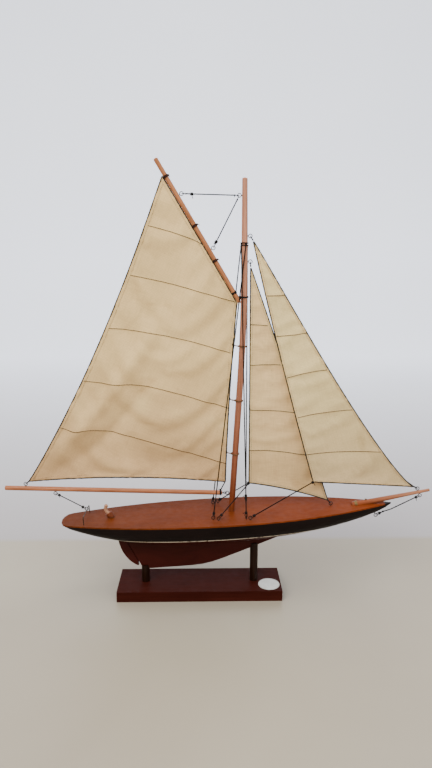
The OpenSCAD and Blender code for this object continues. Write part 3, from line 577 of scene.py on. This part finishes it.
def eye_loop(c, u, n, r, close, degrees):
    """The points of a loop of radius r through an eye at c, which starts and ends at close."""
    w = side_of(n, u)
    mid = c + LOOP_OUT * u
    turns = [math.radians(deg) for deg in degrees]
    return [close, *(mid + r * (u * math.cos(a) + w * math.sin(a)) for a in turns), close]


def tie(build, c, u, n, d=1.0, seed=0, lump=1.4, r=LOOP_R):
    """A cord's loop of radius r through an eye at c, pulled along u, with its knot."""
    u = unit(u)
    close = c + KNOT_OUT * u
    rope(build, eye_loop(c, u, n, r, close, range(50, 311, 26)), 0.5 * d)
    knot(build, close, u, d, lump, 2.9 * lump / 1.4, seed)


def lanyard(build, a, b, n, d=1.0, seed=0, lump=1.4, r=LOOP_R):
    """A cord tied into eyes at a and b; r is the radius of its loop at a."""
    u = unit(b - a)
    tie(build, a, u, n, d, seed, lump, r)
    tie(build, b, -u, n, d, seed + 2, lump)
    rope(build, [a + KNOT_OUT * u, b - KNOT_OUT * u], d)


# ---------------------------------------------------------------- sails
class Sail:
    """A sail as a grid between its edges: u runs from luff to leech and v from foot to head."""

    def __init__(self, luff, leech, foot, head, nu, nv, to_row):
        self.edges = (luff, leech, foot, head)
        self.to_row = to_row
        self.nu, self.nv = nu, nv
        u = np.linspace(0, 1, nu + 1)
        v = np.linspace(0, 1, nv + 1)
        self.plan = np.array([[self.flat(x, y) for x in u] for y in v])
        self.grid = np.array([[to_row(p) for p in row] for row in self.plan])
        across = np.cross(self.grid[0, -1] - self.grid[0, 0], self.grid[-1, 0] - self.grid[0, 0])
        self.out = unit(across)
        if self.out[1] > 0:
            self.out = -self.out

    def flat(self, u, v):
        luff, leech, foot, head = self.edges
        return ((1 - v) * foot(u) + v * head(u) + (1 - u) * luff(v) + u * leech(v)
                - (1 - u) * (1 - v) * foot(0) - u * (1 - v) * foot(1)
                - (1 - u) * v * head(0) - u * v * head(1))

    def find(self, target):
        """The (u, v) of a point given in the sail's own plane."""
        u, v = 0.5, 0.5
        for _ in range(14):
            p = self.flat(u, v)
            du = (self.flat(u + 1e-4, v) - p) / 1e-4
            dv = (self.flat(u, v + 1e-4) - p) / 1e-4
            step = np.linalg.lstsq(np.column_stack([du, dv]), np.asarray(target, float) - p, rcond=None)[0]
            u = min(1.0, max(0.0, u + float(np.clip(step[0], -0.4, 0.4))))
            v = min(1.0, max(0.0, v + float(np.clip(step[1], -0.4, 0.4))))
        return u, v

    def faces(self):
        w = self.nu + 1
        return [(j * w + i, j * w + i + 1, (j + 1) * w + i + 1, (j + 1) * w + i)
                for j in range(self.nv) for i in range(self.nu)]

    def normals(self):
        du = np.gradient(self.grid, axis=1)
        dv = np.gradient(self.grid, axis=0)
        n = np.cross(du, dv)
        size = np.linalg.norm(n, axis=2)
        n = n / np.maximum(size, 1e-9)[:, :, None]
        n[size < 1e-9] = self.out
        flip = np.sign(n @ self.out)
        flip[flip == 0] = 1
        return n * flip[:, :, None]

    def settle(self):
        self.n = self.normals()

    def at(self, u, v, lift=0.0):
        """The point at (u, v) on the finished surface, lifted off it by lift mm."""
        x, y = u * self.nu, v * self.nv
        i, j = min(int(x), self.nu - 1), min(int(y), self.nv - 1)
        fx, fy = x - i, y - j

        def blend(g):
            return ((1 - fx) * (1 - fy) * g[j, i] + fx * (1 - fy) * g[j, i + 1]
                    + (1 - fx) * fy * g[j + 1, i] + fx * fy * g[j + 1, i + 1])

        return blend(self.grid) + lift * unit(blend(self.n))


def bowed(a, b, push, depth, p=1.0, q=1.0):
    """An edge from a to b, bowed by depth along push."""
    a, b, push = np.asarray(a, float), np.asarray(b, float), np.asarray(push, float)
    top = (p / (p + q)) ** p * (q / (p + q)) ** q

    def edge(s):
        return a + (b - a) * s + push * (depth * (max(s, 0) ** p) * (max(1 - s, 0) ** q) / top)

    return edge


def cloth_settle(sail, held, slack, push, cap, gravity=0.35, mass=0.16, stiff=60, frames=26):
    """Cloth simulation of a sail held at its edge; the settled shape replaces its grid."""
    size = 0.01  # one cloth unit is 100 mm, where Blender's cloth behaves well
    mesh = bpy.data.meshes.new("sim")
    start = sail.grid.reshape(-1, 3)
    mesh.from_pydata((start * size).tolist(), [], sail.faces())
    obj = bpy.data.objects.new("sim", mesh)
    bpy.context.scene.collection.objects.link(obj)
    group = obj.vertex_groups.new(name="held")
    for index, weight in enumerate(held.reshape(-1)):
        if weight > 0:
            group.add([index], float(weight), "REPLACE")
    mod = obj.modifiers.new("Cloth", "CLOTH")
    c = mod.settings
    c.quality = 8
    c.mass = mass
    c.tension_stiffness = stiff
    c.compression_stiffness = stiff
    c.shear_stiffness = stiff * 0.6
    c.bending_stiffness = 1.2
    c.tension_damping = 12
    c.compression_damping = 12
    c.shear_damping = 12
    c.bending_damping = 1
    c.air_damping = 4
    c.vertex_group_mass = "held"
    c.shrink_min = -slack
    c.use_pressure = True
    c.uniform_pressure_force = push
    c.effector_weights.gravity = gravity
    mod.collision_settings.use_collision = False
    mod.point_cache.frame_start = 1
    mod.point_cache.frame_end = frames
    scene = bpy.context.scene
    for f in range(1, frames + 1):
        scene.frame_set(f)
    dg = bpy.context.evaluated_depsgraph_get()
    done = obj.evaluated_get(dg)
    found = np.array([v.co for v in done.data.vertices], float).reshape(-1, 3) / size
    scene.frame_set(1)
    bpy.data.objects.remove(obj)
    bpy.data.meshes.remove(mesh)
    move = found - start
    far = np.linalg.norm(move, axis=1)
    move *= np.minimum(1, cap / np.maximum(far, 1e-6))[:, None]
    sail.grid = (start + move).reshape(sail.grid.shape)


def edge_mask(sail, luff, leech, foot, head):
    """How firmly each grid point is held, from its four edges."""
    held = np.zeros((sail.nv + 1, sail.nu + 1))
    held[:, 0] = np.maximum(held[:, 0], luff)
    held[:, -1] = np.maximum(held[:, -1], leech)
    held[0, :] = np.maximum(held[0, :], foot)
    held[-1, :] = np.maximum(held[-1, :], head)
    return held


def crease(sail, points, height, width, taper=0.3):
    """A soft fold along a line given in the sail's own plane; height is signed."""
    line = np.array([sail.to_row(np.asarray(p, float)) for p in points])
    line = curve_points(line, 3)
    span = len(line) - 1
    flat = np.array([[sail.to_row(p) for p in row] for row in sail.plan])
    best = np.full(flat.shape[:2], 1e9)
    place = np.zeros(flat.shape[:2])
    for k, p in enumerate(line):
        far = np.linalg.norm(flat - p, axis=2)
        near = far < best
        best[near] = far[near]
        place[near] = k / span
    ends = np.clip(place / taper, 0, 1) * np.clip((1 - place) / taper, 0, 1)
    ends = np.maximum(ends, 0) ** 0.7
    lift = height * np.exp(-((best / width) ** 2)) * ends
    u = np.linspace(0, 1, sail.nu + 1)[None, :]
    v = np.linspace(0, 1, sail.nv + 1)[:, None]
    calm_u = np.clip(u / 0.03, 0, 1) * np.clip((1 - u) / 0.02, 0, 1)
    calm = calm_u * np.clip(v / 0.03, 0, 1) * np.clip((1 - v) / 0.03, 0, 1)
    sail.grid = sail.grid + sail.out * (lift * calm)[:, :, None]


def ribbon(build, sail, centres, half, lift):
    """A narrow strip of cloth lying on both faces of the sail along (u, v) centres."""
    for side in (1, -1):
        rows = []
        mids = np.array([sail.at(u, v, side * lift) for u, v in centres])
        low = np.array([sail.at(u, v, side * 0.05) for u, v in centres])
        t = np.gradient(mids, axis=0)
        for k in range(len(mids)):
            w = unit(np.cross(t[k], mids[k] - low[k]))
            top = w * (half - 0.25)
            rows.append([low[k] + w * half, mids[k] + top, mids[k] - top, low[k] - w * half])
        v = np.array(rows).reshape(-1, 3)
        f = []
        for k in range(len(rows) - 1):
            for j in range(3):
                p = k * 4 + j
                f.append((p, p + 1, p + 5, p + 4) if side > 0 else (p + 4, p + 5, p + 1, p))
        build.add(v, f)


def stitches(build, sail, centres, lift, length=1.7, gap=0.2, thick=0.4):
    """Short thread stitches lying along a line on both faces of the sail."""
    for side in (1, -1):
        line = np.array([sail.at(u, v, side * lift) for u, v in centres])
        run = np.concatenate([[0], np.cumsum(np.linalg.norm(np.diff(line, axis=0), axis=1))])
        s = 0.3
        while s + length < run[-1]:
            at = np.linspace(s, s + length, 4)
            p = np.array([[np.interp(x, run, line[:, k]) for k in range(3)] for x in at])
            dip = side * sail.out * 0.18
            p[0] -= dip
            p[-1] -= dip
            tube(build, p, [thick * 0.55, thick, thick, thick * 0.55], 5)
            s += length + gap


def along(sail, points, step=1.6):
    """(u, v) samples of a curve through points in the sail's own plane."""
    flat = [np.asarray(p, float) for p in points]
    flat3 = [vec(p[0], p[1], 0) for p in flat]
    line = curve_points(flat3, step)
    return [sail.find(p[:2]) for p in line]


def edge_line(sail, side, inset=0.0, count=90, first=0.0, last=1.0):
    """(u, v) samples along an edge, inset by a distance in mm."""
    out = []
    for k in range(count + 1):
        s = first + (last - first) * k / count
        if side in ("luff", "leech"):
            width = np.linalg.norm(sail.flat(1, s) - sail.flat(0, s))
            d = min(0.5, inset / max(width, 1e-6))
            out.append((d, s) if side == "luff" else (1 - d, s))
        else:
            height = np.linalg.norm(sail.flat(s, 1) - sail.flat(s, 0))
            d = min(0.5, inset / max(height, 1e-6))
            out.append((s, d) if side == "foot" else (s, 1 - d))
    return out


def make_sail(name, sail, material, body, node):
    build = Build()
    build.add(sail.grid.reshape(-1, 3), sail.faces())
    obj = build.make(name, material, body, "sailcloth", (node,))
    thick = obj.modifiers.new("cloth_thickness", "SOLIDIFY")
    thick.thickness = 0.00035
    thick.offset = 0
    round_it = obj.modifiers.new("soft", "SUBSURF")
    round_it.levels = 1
    round_it.render_levels = 1
    return obj


def dress_sail(name, sail, body, seams, material, hem, sides):
    """Hems, bolt rope and sewn seams that go with a sail. sides are the edges that carry a hem."""
    tape, thread, cord = Build(), Build(), Build()
    for side, first, last in sides:
        ribbon(tape, sail, edge_line(sail, side, hem / 2, 90, first, last), hem / 2, 0.32)
        stitches(thread, sail, edge_line(sail, side, hem - 0.6, 90, first, last), 0.36, 1.5, 0.7, 0.11)
    for points in seams:
        line = along(sail, points)
        ribbon(tape, sail, line, 0.95, 0.3)
        stitches(thread, sail, line, 0.5)
    for side in ("luff", "leech", "foot", "head"):
        line = edge_line(sail, side, 0.0, 120)
        pts = [sail.at(u, v) for u, v in line]
        if np.linalg.norm(pts[0] - pts[-1]) > 5:
            rope(cord, pts, 1.25, 0.8, 3.2)
    a = tape.make(name + "_hems_and_seams", material, body, "sailcloth")
    b = thread.make(name + "_stitching", M["thread"], body, "twine")
    c = cord.make(name + "_bolt_rope", M["bolt_rope"], body, "twine")
    return [a, b, c]


def sew(name, sail, body, looks, settle, creases, seams, hem, sides):
    """Settles a sail by simulation, folds in its creases, and makes its cloth and trim."""
    cloth_settle(sail, edge_mask(sail, 1.0, 1.0, 0.8, 1.0), *settle)
    for points, height, width in creases:
        crease(sail, points, height, width)
    sail.settle()
    cloth = make_sail(name + "_cloth", sail, M[looks[0]], body, name)
    return cloth, dress_sail(name, sail, body, seams, M[looks[1]], hem, sides)


# Mainsail, in the rig's own plane (a forward, h up the mast)
PEAK, THROAT, TACK, CLEW = (-88.4, 373.6), (-4.39, 243.85), (-9.3, 36), (-239.8, 27.0)


def rig_row(p):
    return rig(p[0], 0, p[1])


main = Sail(bowed(TACK, THROAT, (-1, 0), 1.5), bowed(CLEW, PEAK, (1, 0), 10.8, 0.9, 1.1),
            bowed(TACK, CLEW, (0, 1), 5), bowed(THROAT, PEAK, (0, 1), 0), 64, 80, rig_row)
main_made = sew("mainsail", main, "main_rig", ("main_cloth", "main_tape"), (0.012, 0.9, 7), [
    ([(-224, 40), (-185, 84), (-146, 132), (-110, 184), (-84, 226)], 4.2, 9),
    ([(-212, 36), (-162, 72), (-122, 118), (-96, 160)], -3.2, 8),
    ([(-150, 190), (-118, 214), (-88, 246)], -0.8, 9),
    ([(-205, 72), (-176, 92), (-140, 98)], 1.4, 6),
    ([(-20, 60), (-60, 74), (-104, 80)], 0.7, 9),
    ([(-30, 236), (-70, 262), (-94, 300)], 0.6, 9),
], [
    [(-103.4, 322.9), (-88, 319.6), (-71.7, 315.4), (-56, 310.4), (-42.6, 304.4)],
    [(-121.7, 269.9), (-97.5, 266), (-73, 261.3), (-38.6, 252.9), (-4.9, 244.4)],
    [(-145.4, 211.2), (-112, 209), (-72, 203), (-38, 195.6), (-8, 187.6)],
    [(-174.3, 150.1), (-147, 147.6), (-109, 147.5), (-68, 139.2), (-8, 124.3)],
    [(-202.3, 93.9), (-187, 90.2), (-163, 92.8), (-106, 82), (-9.6, 57.9)],
], 4.6, [("leech", 0, 1), ("luff", 0, 1), ("head", 0, 1), ("foot", 0, 1)])


def row_plane(y_of):
    """A plane upright along X whose sideways place comes from y_of(x, z)."""

    def to_row(p):
        return vec(p[0], y_of(p[0], p[1]), p[1])

    return to_row


FORE_HEMS = [("leech", 0, 0.985), ("luff", 0, 0.985), ("foot", 0, 1)]

# The jib's clew is drawn 8 mm to starboard; its head and tack are on the centreline,
# and every head and tack hangs a short tie away from its eye
HEEL, TIP = vec(180.5, 0, 108.2), vec(271, 0, 126.7)
SPRIT = unit(TIP - HEEL)
SPRIT_UP = vec(-SPRIT[2], 0, SPRIT[0])
EYE_OUT = 2.7  # from a surface to the middle of its screw eye
J_EYES = on_mast(mast_a(315.5) + mast_r(315.5) + EYE_OUT, 0, 315.5), HEEL + SPRIT * 79 + SPRIT_UP * 4.6
S_EYES = on_mast(mast_a(288.6) + mast_r(288.6) + EYE_OUT, 0, 288.6), vec(155, 0, deck_z(155) + EYE_OUT)


def near_eye(eye, corner, gap=5.6):
    """A sail's corner, drawn up close to its eye."""
    eye = eye[[0, 2]]
    return eye + unit(vec(*corner) - eye) * gap


J_HEAD, J_TACK = near_eye(J_EYES[0], (60.5, 409.5)), near_eye(J_EYES[1], (249, 132.6))
S_HEAD, S_TACK = near_eye(S_EYES[0], (56.6, 381.5)), near_eye(S_EYES[1], (149.5, 116.5))
J_CLEW, S_CLEW = vec(131.8, 140.5), vec(58, 136.7)


def jib_y(x, z):
    m = np.column_stack([J_TACK - J_HEAD, J_CLEW - J_HEAD])
    return -8 * np.linalg.solve(m, np.array([x, z]) - J_HEAD)[1]


def top_of(head, luff_way, leech_way, width=2.4):
    """The short headed edge at a sail's pointed top."""
    return head + unit(luff_way) * width / 2, head + unit(leech_way) * width / 2


luff_dir = unit(J_TACK - J_HEAD)
hollow = J_CLEW - J_HEAD
hollow = unit(hollow - luff_dir * (hollow @ luff_dir))
j_fore, j_aft = top_of(J_HEAD, luff_dir, J_CLEW - J_HEAD)
jib = Sail(bowed(J_TACK, j_fore, hollow, 9.2, 0.6, 1.3), bowed(J_CLEW, j_aft, (-1, 0), 1.8),
           bowed(J_TACK, J_CLEW, (0, 1), 0), bowed(j_fore, j_aft, (0, 1), 0), 40, 84, row_plane(jib_y))
jib_made = sew("jib", jib, "hull", ("jib_cloth", "fore_tape"), (0.010, 0.7, 5), [
    ([(134, 146), (160, 160), (196, 168)], 0.7, 7),
    ([(120, 196), (150, 206), (176, 220)], -0.5, 8),
    ([(92, 292), (104, 270), (126, 246)], 0.5, 7),
], [
    [(73.8, 353.6), (84, 353.8), (96.4, 354.4)],
    [(85.6, 309.2), (103, 310.4), (121.6, 313)],
    [(98.2, 262.4), (119, 267.6), (146.4, 271.6)],
    [(111.2, 216.6), (141.2, 221.4), (176.6, 225)],
    [(122.2, 173.2), (163.8, 174.6), (213, 174.4)],
], 3.4, FORE_HEMS)

s_fore, s_aft = top_of(S_HEAD, S_TACK - S_HEAD, S_CLEW - S_HEAD)
stay = Sail(bowed(S_TACK, s_fore, (1, 0), 1.2), bowed(S_CLEW, s_aft, (0, 1), 0),
            bowed(S_TACK, S_CLEW, (0, 1), 2.5), bowed(s_fore, s_aft, (0, 1), 0), 30, 80,
            row_plane(lambda x, z: 0.0))
stay_made = sew("staysail", stay, "hull", ("stay_cloth", "fore_tape"), (0.008, 0.6, 4), [
    ([(114, 186), (121, 164), (131, 140)], 0.9, 6),
    ([(62, 142), (74, 164), (80, 190)], -0.6, 6),
], [
    [(57, 322), (68, 321.6), (77.2, 320.8)],
    [(57.3, 276.4), (76, 277), (92.8, 276.6)],
    [(57.6, 224.6), (84, 223.2), (111.2, 221)],
    [(57.8, 176.6), (83.3, 174.8), (128.6, 170)],
], 3.2, FORE_HEMS)


def sheet_of(made):
    """Unpacks a made sail into its cloth and its trim."""
    obj, trim = made
    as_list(trim)


sheet_of(main_made)
sheet_of(jib_made)
sheet_of(stay_made)

# ---------------------------------------------------------------- cords
Y = vec(0, 1, 0)
DOWN = vec(math.sin(TRIM), 0, -math.cos(TRIM))


def deck_eye(x, side):
    return vec(x, side, deck_z(x) + EYE_OUT)


def eye_normal(u):
    return unit(np.cross(DOWN, side_of(u, DOWN)))


def shroud_top(angle, h):
    r = mast_r(308) + 0.53
    a = math.radians(angle)
    return on_mast(mast_a(h) + r * math.cos(a), r * math.sin(a), h)


def shroud(name, node, h, legs):
    b = Build()
    centre = on_mast(mast_a(h), 0, h)
    ex = unit(on_mast(1, 0, 0) - on_mast(0, 0, 0))
    ring = [centre + (mast_r(308) + 0.53) * (ex * math.cos(a) + Y * math.sin(a))
            for a in np.linspace(0, 2 * math.pi, 17)[:-1]]
    rope(b, ring, 1.0, closed=True)
    for k, (x, side, angle) in enumerate(legs):
        e, t = deck_eye(x, side), shroud_top(angle, h)
        u = unit(t - e)
        tie(b, e, u, eye_normal(u), 1.0, k * 1.7)
        rope(b, [e + KNOT_OUT * u, t], 1.0)
        coil(b, t - u * 1.5, u, 0.75, 3, 0.5, 0.5, k)
    return b.make(name, M["twine"], "hull", "twine", (node,))


shroud("shroud_cord_starboard", "shroud_starboard", 308, [(16, -21.8, -70), (53.4, -25, -160)])
shroud("shroud_cord_port", "shroud_port", 305.6, [(16, 21.8, 160), (56.4, 25, 35)])

bobstay_eye = HEEL + SPRIT * 80.5 - SPRIT_UP * 4.6
stem_eye = vec(209.4, 0, 95.4)
bend = [vec(217.8, 0, 99.6), vec(227.5, 0, 102.9)]
b = Build()
tie(b, stem_eye, bend[0] - stem_eye, Y, 1.0, 0.4)
tie(b, bobstay_eye, bend[1] - bobstay_eye, Y, 1.0, 2.0)
u0, u1 = unit(bend[0] - stem_eye), unit(bend[1] - bobstay_eye)
rope(b, [stem_eye + KNOT_OUT * u0, bend[0]], 1.0)
rope(b, [bend[0], bend[1]], 1.0)
rope(b, [bend[1], bobstay_eye + KNOT_OUT * u1], 1.0)
knot(b, bend[0], bend[1] - bend[0], 1.0, 0.9, 2.2, 0.3)
b.make("bobstay_cord", M["twine"], "hull", "twine", ("bobstay",))


def sheet_cord(name, node, eye, end, seed):
    b = Build()
    u = unit(end - eye)
    tie(b, eye, u, eye_normal(u), 1.0, seed)
    rope(b, [eye + KNOT_OUT * u, end], 1.0)
    knot(b, end, u, 1.0, 1.3, 3.4, seed + 1)
    return b.make(name, M["twine"], "hull", "twine", (node,))


stay_knot = vec(57.2, 0, 136.1)
jib_knot = vec(131, -8.4, 140.1)
for side, sign, seed in (("starboard", -1, 0.2), ("port", 1, 1.4)):
    sheet_cord("staysail_sheet_cord_" + side, "staysail_sheet_" + side,
               deck_eye(22, sign * 25), stay_knot + vec(0, sign * 1.1, 0), seed)
sheet_cord("jib_sheet_cord", "jib_sheet", deck_eye(58, -28), jib_knot, 2.6)


def corner_tie(b, eye, corner, n, seed=0.0):
    u = unit(corner - eye)
    end = eye + (LOOP_OUT + LOOP_R) * u
    rope(b, eye_loop(eye, u, n, LOOP_R, end, range(40, 321, 28)), 0.7)
    rope(b, [end, corner], 0.9, 0.4)
    coil(b, end + (corner - end) * 0.35, u, 0.62, 2.4, 0.5, 0.55, seed)


def corner_ties(eyes, head, tack):
    """The ties of a headsail's head and tack, on the centreline."""
    b = Build()
    corner_tie(b, eyes[0], vec(head[0], 0, head[1]), Y)
    corner_tie(b, eyes[1], vec(tack[0], 0, tack[1]), Y, 1.0)
    return b


b = corner_ties(J_EYES, J_HEAD, J_TACK)
TACK_LOOP = J_EYES[1] + (LOOP_OUT + LOOP_R) * unit(vec(J_TACK[0], 0, J_TACK[1]) - J_EYES[1])
for mark in ((0.0, 0.035), (0.09, 0.0)):
    rope(b, [TACK_LOOP, jib.at(*mark)], 0.75, 0.4)
b.make("jib_corner_cords", M["twine"], "hull", "twine", ("jib_ties",))
b = corner_ties(S_EYES, S_HEAD, S_TACK)
b.make("staysail_corner_cords", M["twine"], "hull", "twine", ("staysail_ties",))

# Running rigging of the boom, gaff and mainsail, given in the rig's frame
NY = unit(rig(0, 1, 0) - rig(0, 0, 0))
UP = unit(rig(0, 0, 1) - rig(0, 0, 0))
boom_fore, boom_aft = vec(-13.3, 0, 22.2), vec(-267.8, 0, 17.6)
boom_way = unit(boom_aft - boom_fore)


def on_boom(a):
    return boom_fore + boom_way * ((boom_fore[0] - a) / -boom_way[0])


def to_row(p):
    return rig(p[0], p[1], p[2])


sheet_eye = to_row(on_boom(-208.9) - vec(0, 0, 5.4))
clew_eye = to_row(on_boom(-244) + vec(0, 0, 5.4))
g_peak, g_throat = vec(-95.7, 0, 390.5), vec(-3.5, 0, 248)
g_way = unit(g_throat - g_peak)
g_up = vec(-g_way[2], 0, g_way[0])


def on_gaff(s, off=0.0):
    return g_peak + g_way * s + g_up * off


upper_eye, lower_eye = to_row(on_gaff(43.7, 5.1)), to_row(on_gaff(109.1, 5.1))
peak_eye = to_row(vec(mast_a(356.8) - mast_r(356.8) - EYE_OUT, 0, 356.8))
b = Build()
lanyard(b, upper_eye, peak_eye, NY, 1.0, 0.5, 0.75)
lanyard(b, lower_eye, peak_eye, NY, 1.0, 1.1, 0.75)
for at, far in ((upper_eye, 11), (lower_eye, 7)):
    u = unit(peak_eye - at)
    knot(b, at + u * far, u, 1.0, 1.5, 3.2, far)
b.make("peak_halyard_cord", M["twine"], "main_rig", "twine", ("peak_halyard",))

bar_y = (38.4 + 133) * math.sin(SWING)
bar = boat(-133, bar_y, 9)
way = unit(sheet_eye - bar)
ring_c = bar + way * 0.7
b = Build()
lanyard(b, ring_c, sheet_eye, NY, 0.9, 0.9, 1.5, 1.35)
b.make("main_sheet_cord", M["twine"], "main_rig", "twine", ("main_sheet",))

b = Build()
corner_tie(b, clew_eye, rig(CLEW[0], 0, CLEW[1]), NY)
b.make("clew_cord", M["twine"], "main_rig", "twine", ("clew_tie",))

b = Build()
low = boom_fore + vec(-1.2, 0, 0)
rope(b, [to_row(low + vec(0, 0, 3.1)), rig(TACK[0] - 0.3, 0, TACK[1] - 0.2)], 1.0, 0.5)
coil(b, to_row(low), unit(rig(1, 0, 0) - rig(0, 0, 0)), 3.05, 2.6, 0.7, 0.72)
knot(b, to_row(low + vec(0, 0, 3.4)), UP, 0.9, 0.9, 2.6, 0.7)
b.make("tack_cord", M["twine"], "main_rig", "twine", ("tack_tie",))

# Twine hoops that hold the luff to the mast, with a small lump of knot on each side
LUFF = [(70.7, -8.9), (133.9, -7.7), (196.1, -6.9)]
b, dark = Build(), Build()
for k, (h, luff) in enumerate(LUFF):
    centre = to_row(vec(mast_a(h), 0, h))
    r = mast_r(h) + 0.45 + 0.5
    coil(b, centre, UP, r, 2.15, 0.72, 0.62, 0.8 + k, across=NY)
    back = to_row(vec(mast_a(h) - 3.6 - 1.05, 0, h))
    rope(b, [back, to_row(vec(luff, 0, h + 0.8))], 0.9, 0.4)
    knot(b, back, UP, 0.95, 0.85, 2.2, 1.0 + k)
    knot(b, centre - NY * (r + 0.05), UP, 0.62, 0.7, 0.0, 0.3 + k)
    coil(dark, to_row(vec(luff - 0.2, 0, h + 1.6)), UP, 0.75, 2.4, 0.5, 0.6, k)
b.make("luff_hoops", M["tan_twine"], "main_rig", "twine", ("mast_lashings",))
dark.make("luff_knots", M["twine"], "main_rig", "twine")

b = Build()
G = unit(to_row(g_way) - to_row(vec(0, 0, 0)))
for k, s in enumerate((20.5, 79.2, 121.8)):
    coil(b, to_row(on_gaff(s)), G, 2.4 + 0.42, 3.6, 0.72, 0.72, 0.6 + k)
    knot(b, to_row(on_gaff(s, 3.1)), G, 0.85, 0.9, 2.0, 0.4 + k)
    rope(b, [to_row(on_gaff(s + 0.4, -2.6)), to_row(on_gaff(s + 0.4, -4.1))], 0.8, 0.4)
b.make("gaff_lashing_cords", M["brown_twine"], "main_rig", "twine", ("gaff_lashings",))

b = Build()
coil(b, to_row(vec(mast_a(250.5), 0, 250.5)), UP, mast_r(250.5) + 0.45 + 0.6, 2.1, 0.85, 0.8, 0.5)
coil(b, to_row(on_gaff(162)), G, 2.4 + 0.42, 3.4, 0.72, 0.72, 0.2)
knot(b, to_row(vec(mast_a(250.5) - 3.6 - 1.3, 0, 249.6)), UP, 1.1, 1.45, 2.6, 2.2)
b.make("throat_cord", M["twine"], "main_rig", "twine", ("throat_lashing",))

# ---------------------------------------------------------------- floor, wall, light, camera
def backdrop():
    """A pale seamless floor that turns up into a wall, far enough back to walk round the object."""
    rows, width = [], 4.0
    for y in (-2.8, -1.2, -0.4, 0.0, 0.126, 0.138, 0.4, 0.9, 1.5):
        rows.append((y, 0.0))
    for k in range(1, 13):
        a = math.pi / 2 * k / 12
        rows.append((1.6 + 0.4 * math.sin(a), 0.4 - 0.4 * math.cos(a)))
    rows += [(2.0, 1.2), (2.0, 3.2)]
    v, f = [], []
    for y, z in rows:
        v += [(-width, y, z), (width, y, z)]
    for k in range(len(rows) - 1):
        f.append((2 * k, 2 * k + 1, 2 * k + 3, 2 * k + 2))
    mesh = bpy.data.meshes.new("backdrop")
    mesh.from_pydata(v, [], f)
    mesh.polygons.foreach_set("use_smooth", [True] * len(mesh.polygons))
    obj = bpy.data.objects.new("backdrop", mesh)
    bpy.context.scene.collection.objects.link(obj)
    s = Shade("backdrop_plain", IOR=1.45, Emission_Strength=1.0)
    behind = s.remap(s.part(s.place(), 1), 0.126, 0.138, 0.0, 1.0)
    veil = s.noise(s.place((3, 3, 3)), 1, 3, 0.5, 0.6)
    floor = s.steps(veil, (0.3, (0.32, 0.272, 0.198)), (0.7, (0.37, 0.322, 0.240)))
    wall = s.steps(veil, (0.3, (0.84, 0.86, 0.925)), (0.7, (0.87, 0.89, 0.95)))
    # painted shade and light: behind that line the colour starts as a darker grey and lightens further
    # back
    far = s.remap(s.math("ADD", s.part(s.place(), 1), s.part(s.place(), 2)), 0.138, 1.7, 0.0, 1.0)
    colour = s.mix(behind, floor, s.mix(far, (0.40, 0.37, 0.365, 1), wall))
    # painted light: the part behind the line glows, more strongly further back
    glow = s.mix(behind, (0, 0, 0, 1), s.mix(far, (0, 0, 0, 1), (0.62, 0.65, 0.72, 1)))
    s.link(glow, s.bsdf.inputs["Emission Color"])
    mesh.materials.append(s.finish(colour, s.remap(behind, 0, 1, 0.42, 0.8)))


backdrop()


def area_light(name, place, aim, size, power, colour=(1, 1, 1)):
    data = bpy.data.lights.new(name, "AREA")
    data.shape = "RECTANGLE"
    data.size, data.size_y = size
    data.energy = power
    data.color = colour
    obj = bpy.data.objects.new(name, data)
    obj.location = place
    obj.rotation_mode = "QUATERNION"
    obj.rotation_quaternion = (Vector(aim) - Vector(place)).to_track_quat("-Z", "Y")
    bpy.context.scene.collection.objects.link(obj)


area_light("key", (-0.9, -1.3, 1.7), (0, 0, 0.2), (1.4, 1.4), 50, (1.0, 0.985, 0.96))
area_light("fill", (1.4, -1.2, 0.9), (0, 0, 0.2), (1.6, 1.2), 18, (0.95, 0.97, 1.0))
area_light("top", (0.1, -0.1, 1.9), (0, 0, 0), (1.8, 1.2), 24, (1.0, 0.99, 0.98))

world = bpy.data.worlds.new("studio")
bpy.context.scene.world = world
world.use_nodes = True
world.node_tree.nodes["Background"].inputs["Color"].default_value = (0.86, 0.88, 0.92, 1)
world.node_tree.nodes["Background"].inputs["Strength"].default_value = 0.75

cam_data = bpy.data.cameras.new("camera")
cam_data.lens = 28.125
cam_data.sensor_width = 36
cam_data.shift_x, cam_data.shift_y = -0.00065, 0.00065
cam_data.clip_start, cam_data.clip_end = 0.01, 20
camera = bpy.data.objects.new("camera", cam_data)
camera.location = (0.0057, -0.6613, 0.3962)
camera.rotation_mode = "QUATERNION"
aim = Euler((math.radians(90 - 12.1), 0, math.radians(-1.21))).to_quaternion()
camera.rotation_quaternion = aim @ Quaternion((0, 0, 1), math.radians(0.13))
bpy.context.scene.collection.objects.link(camera)
bpy.context.scene.camera = camera
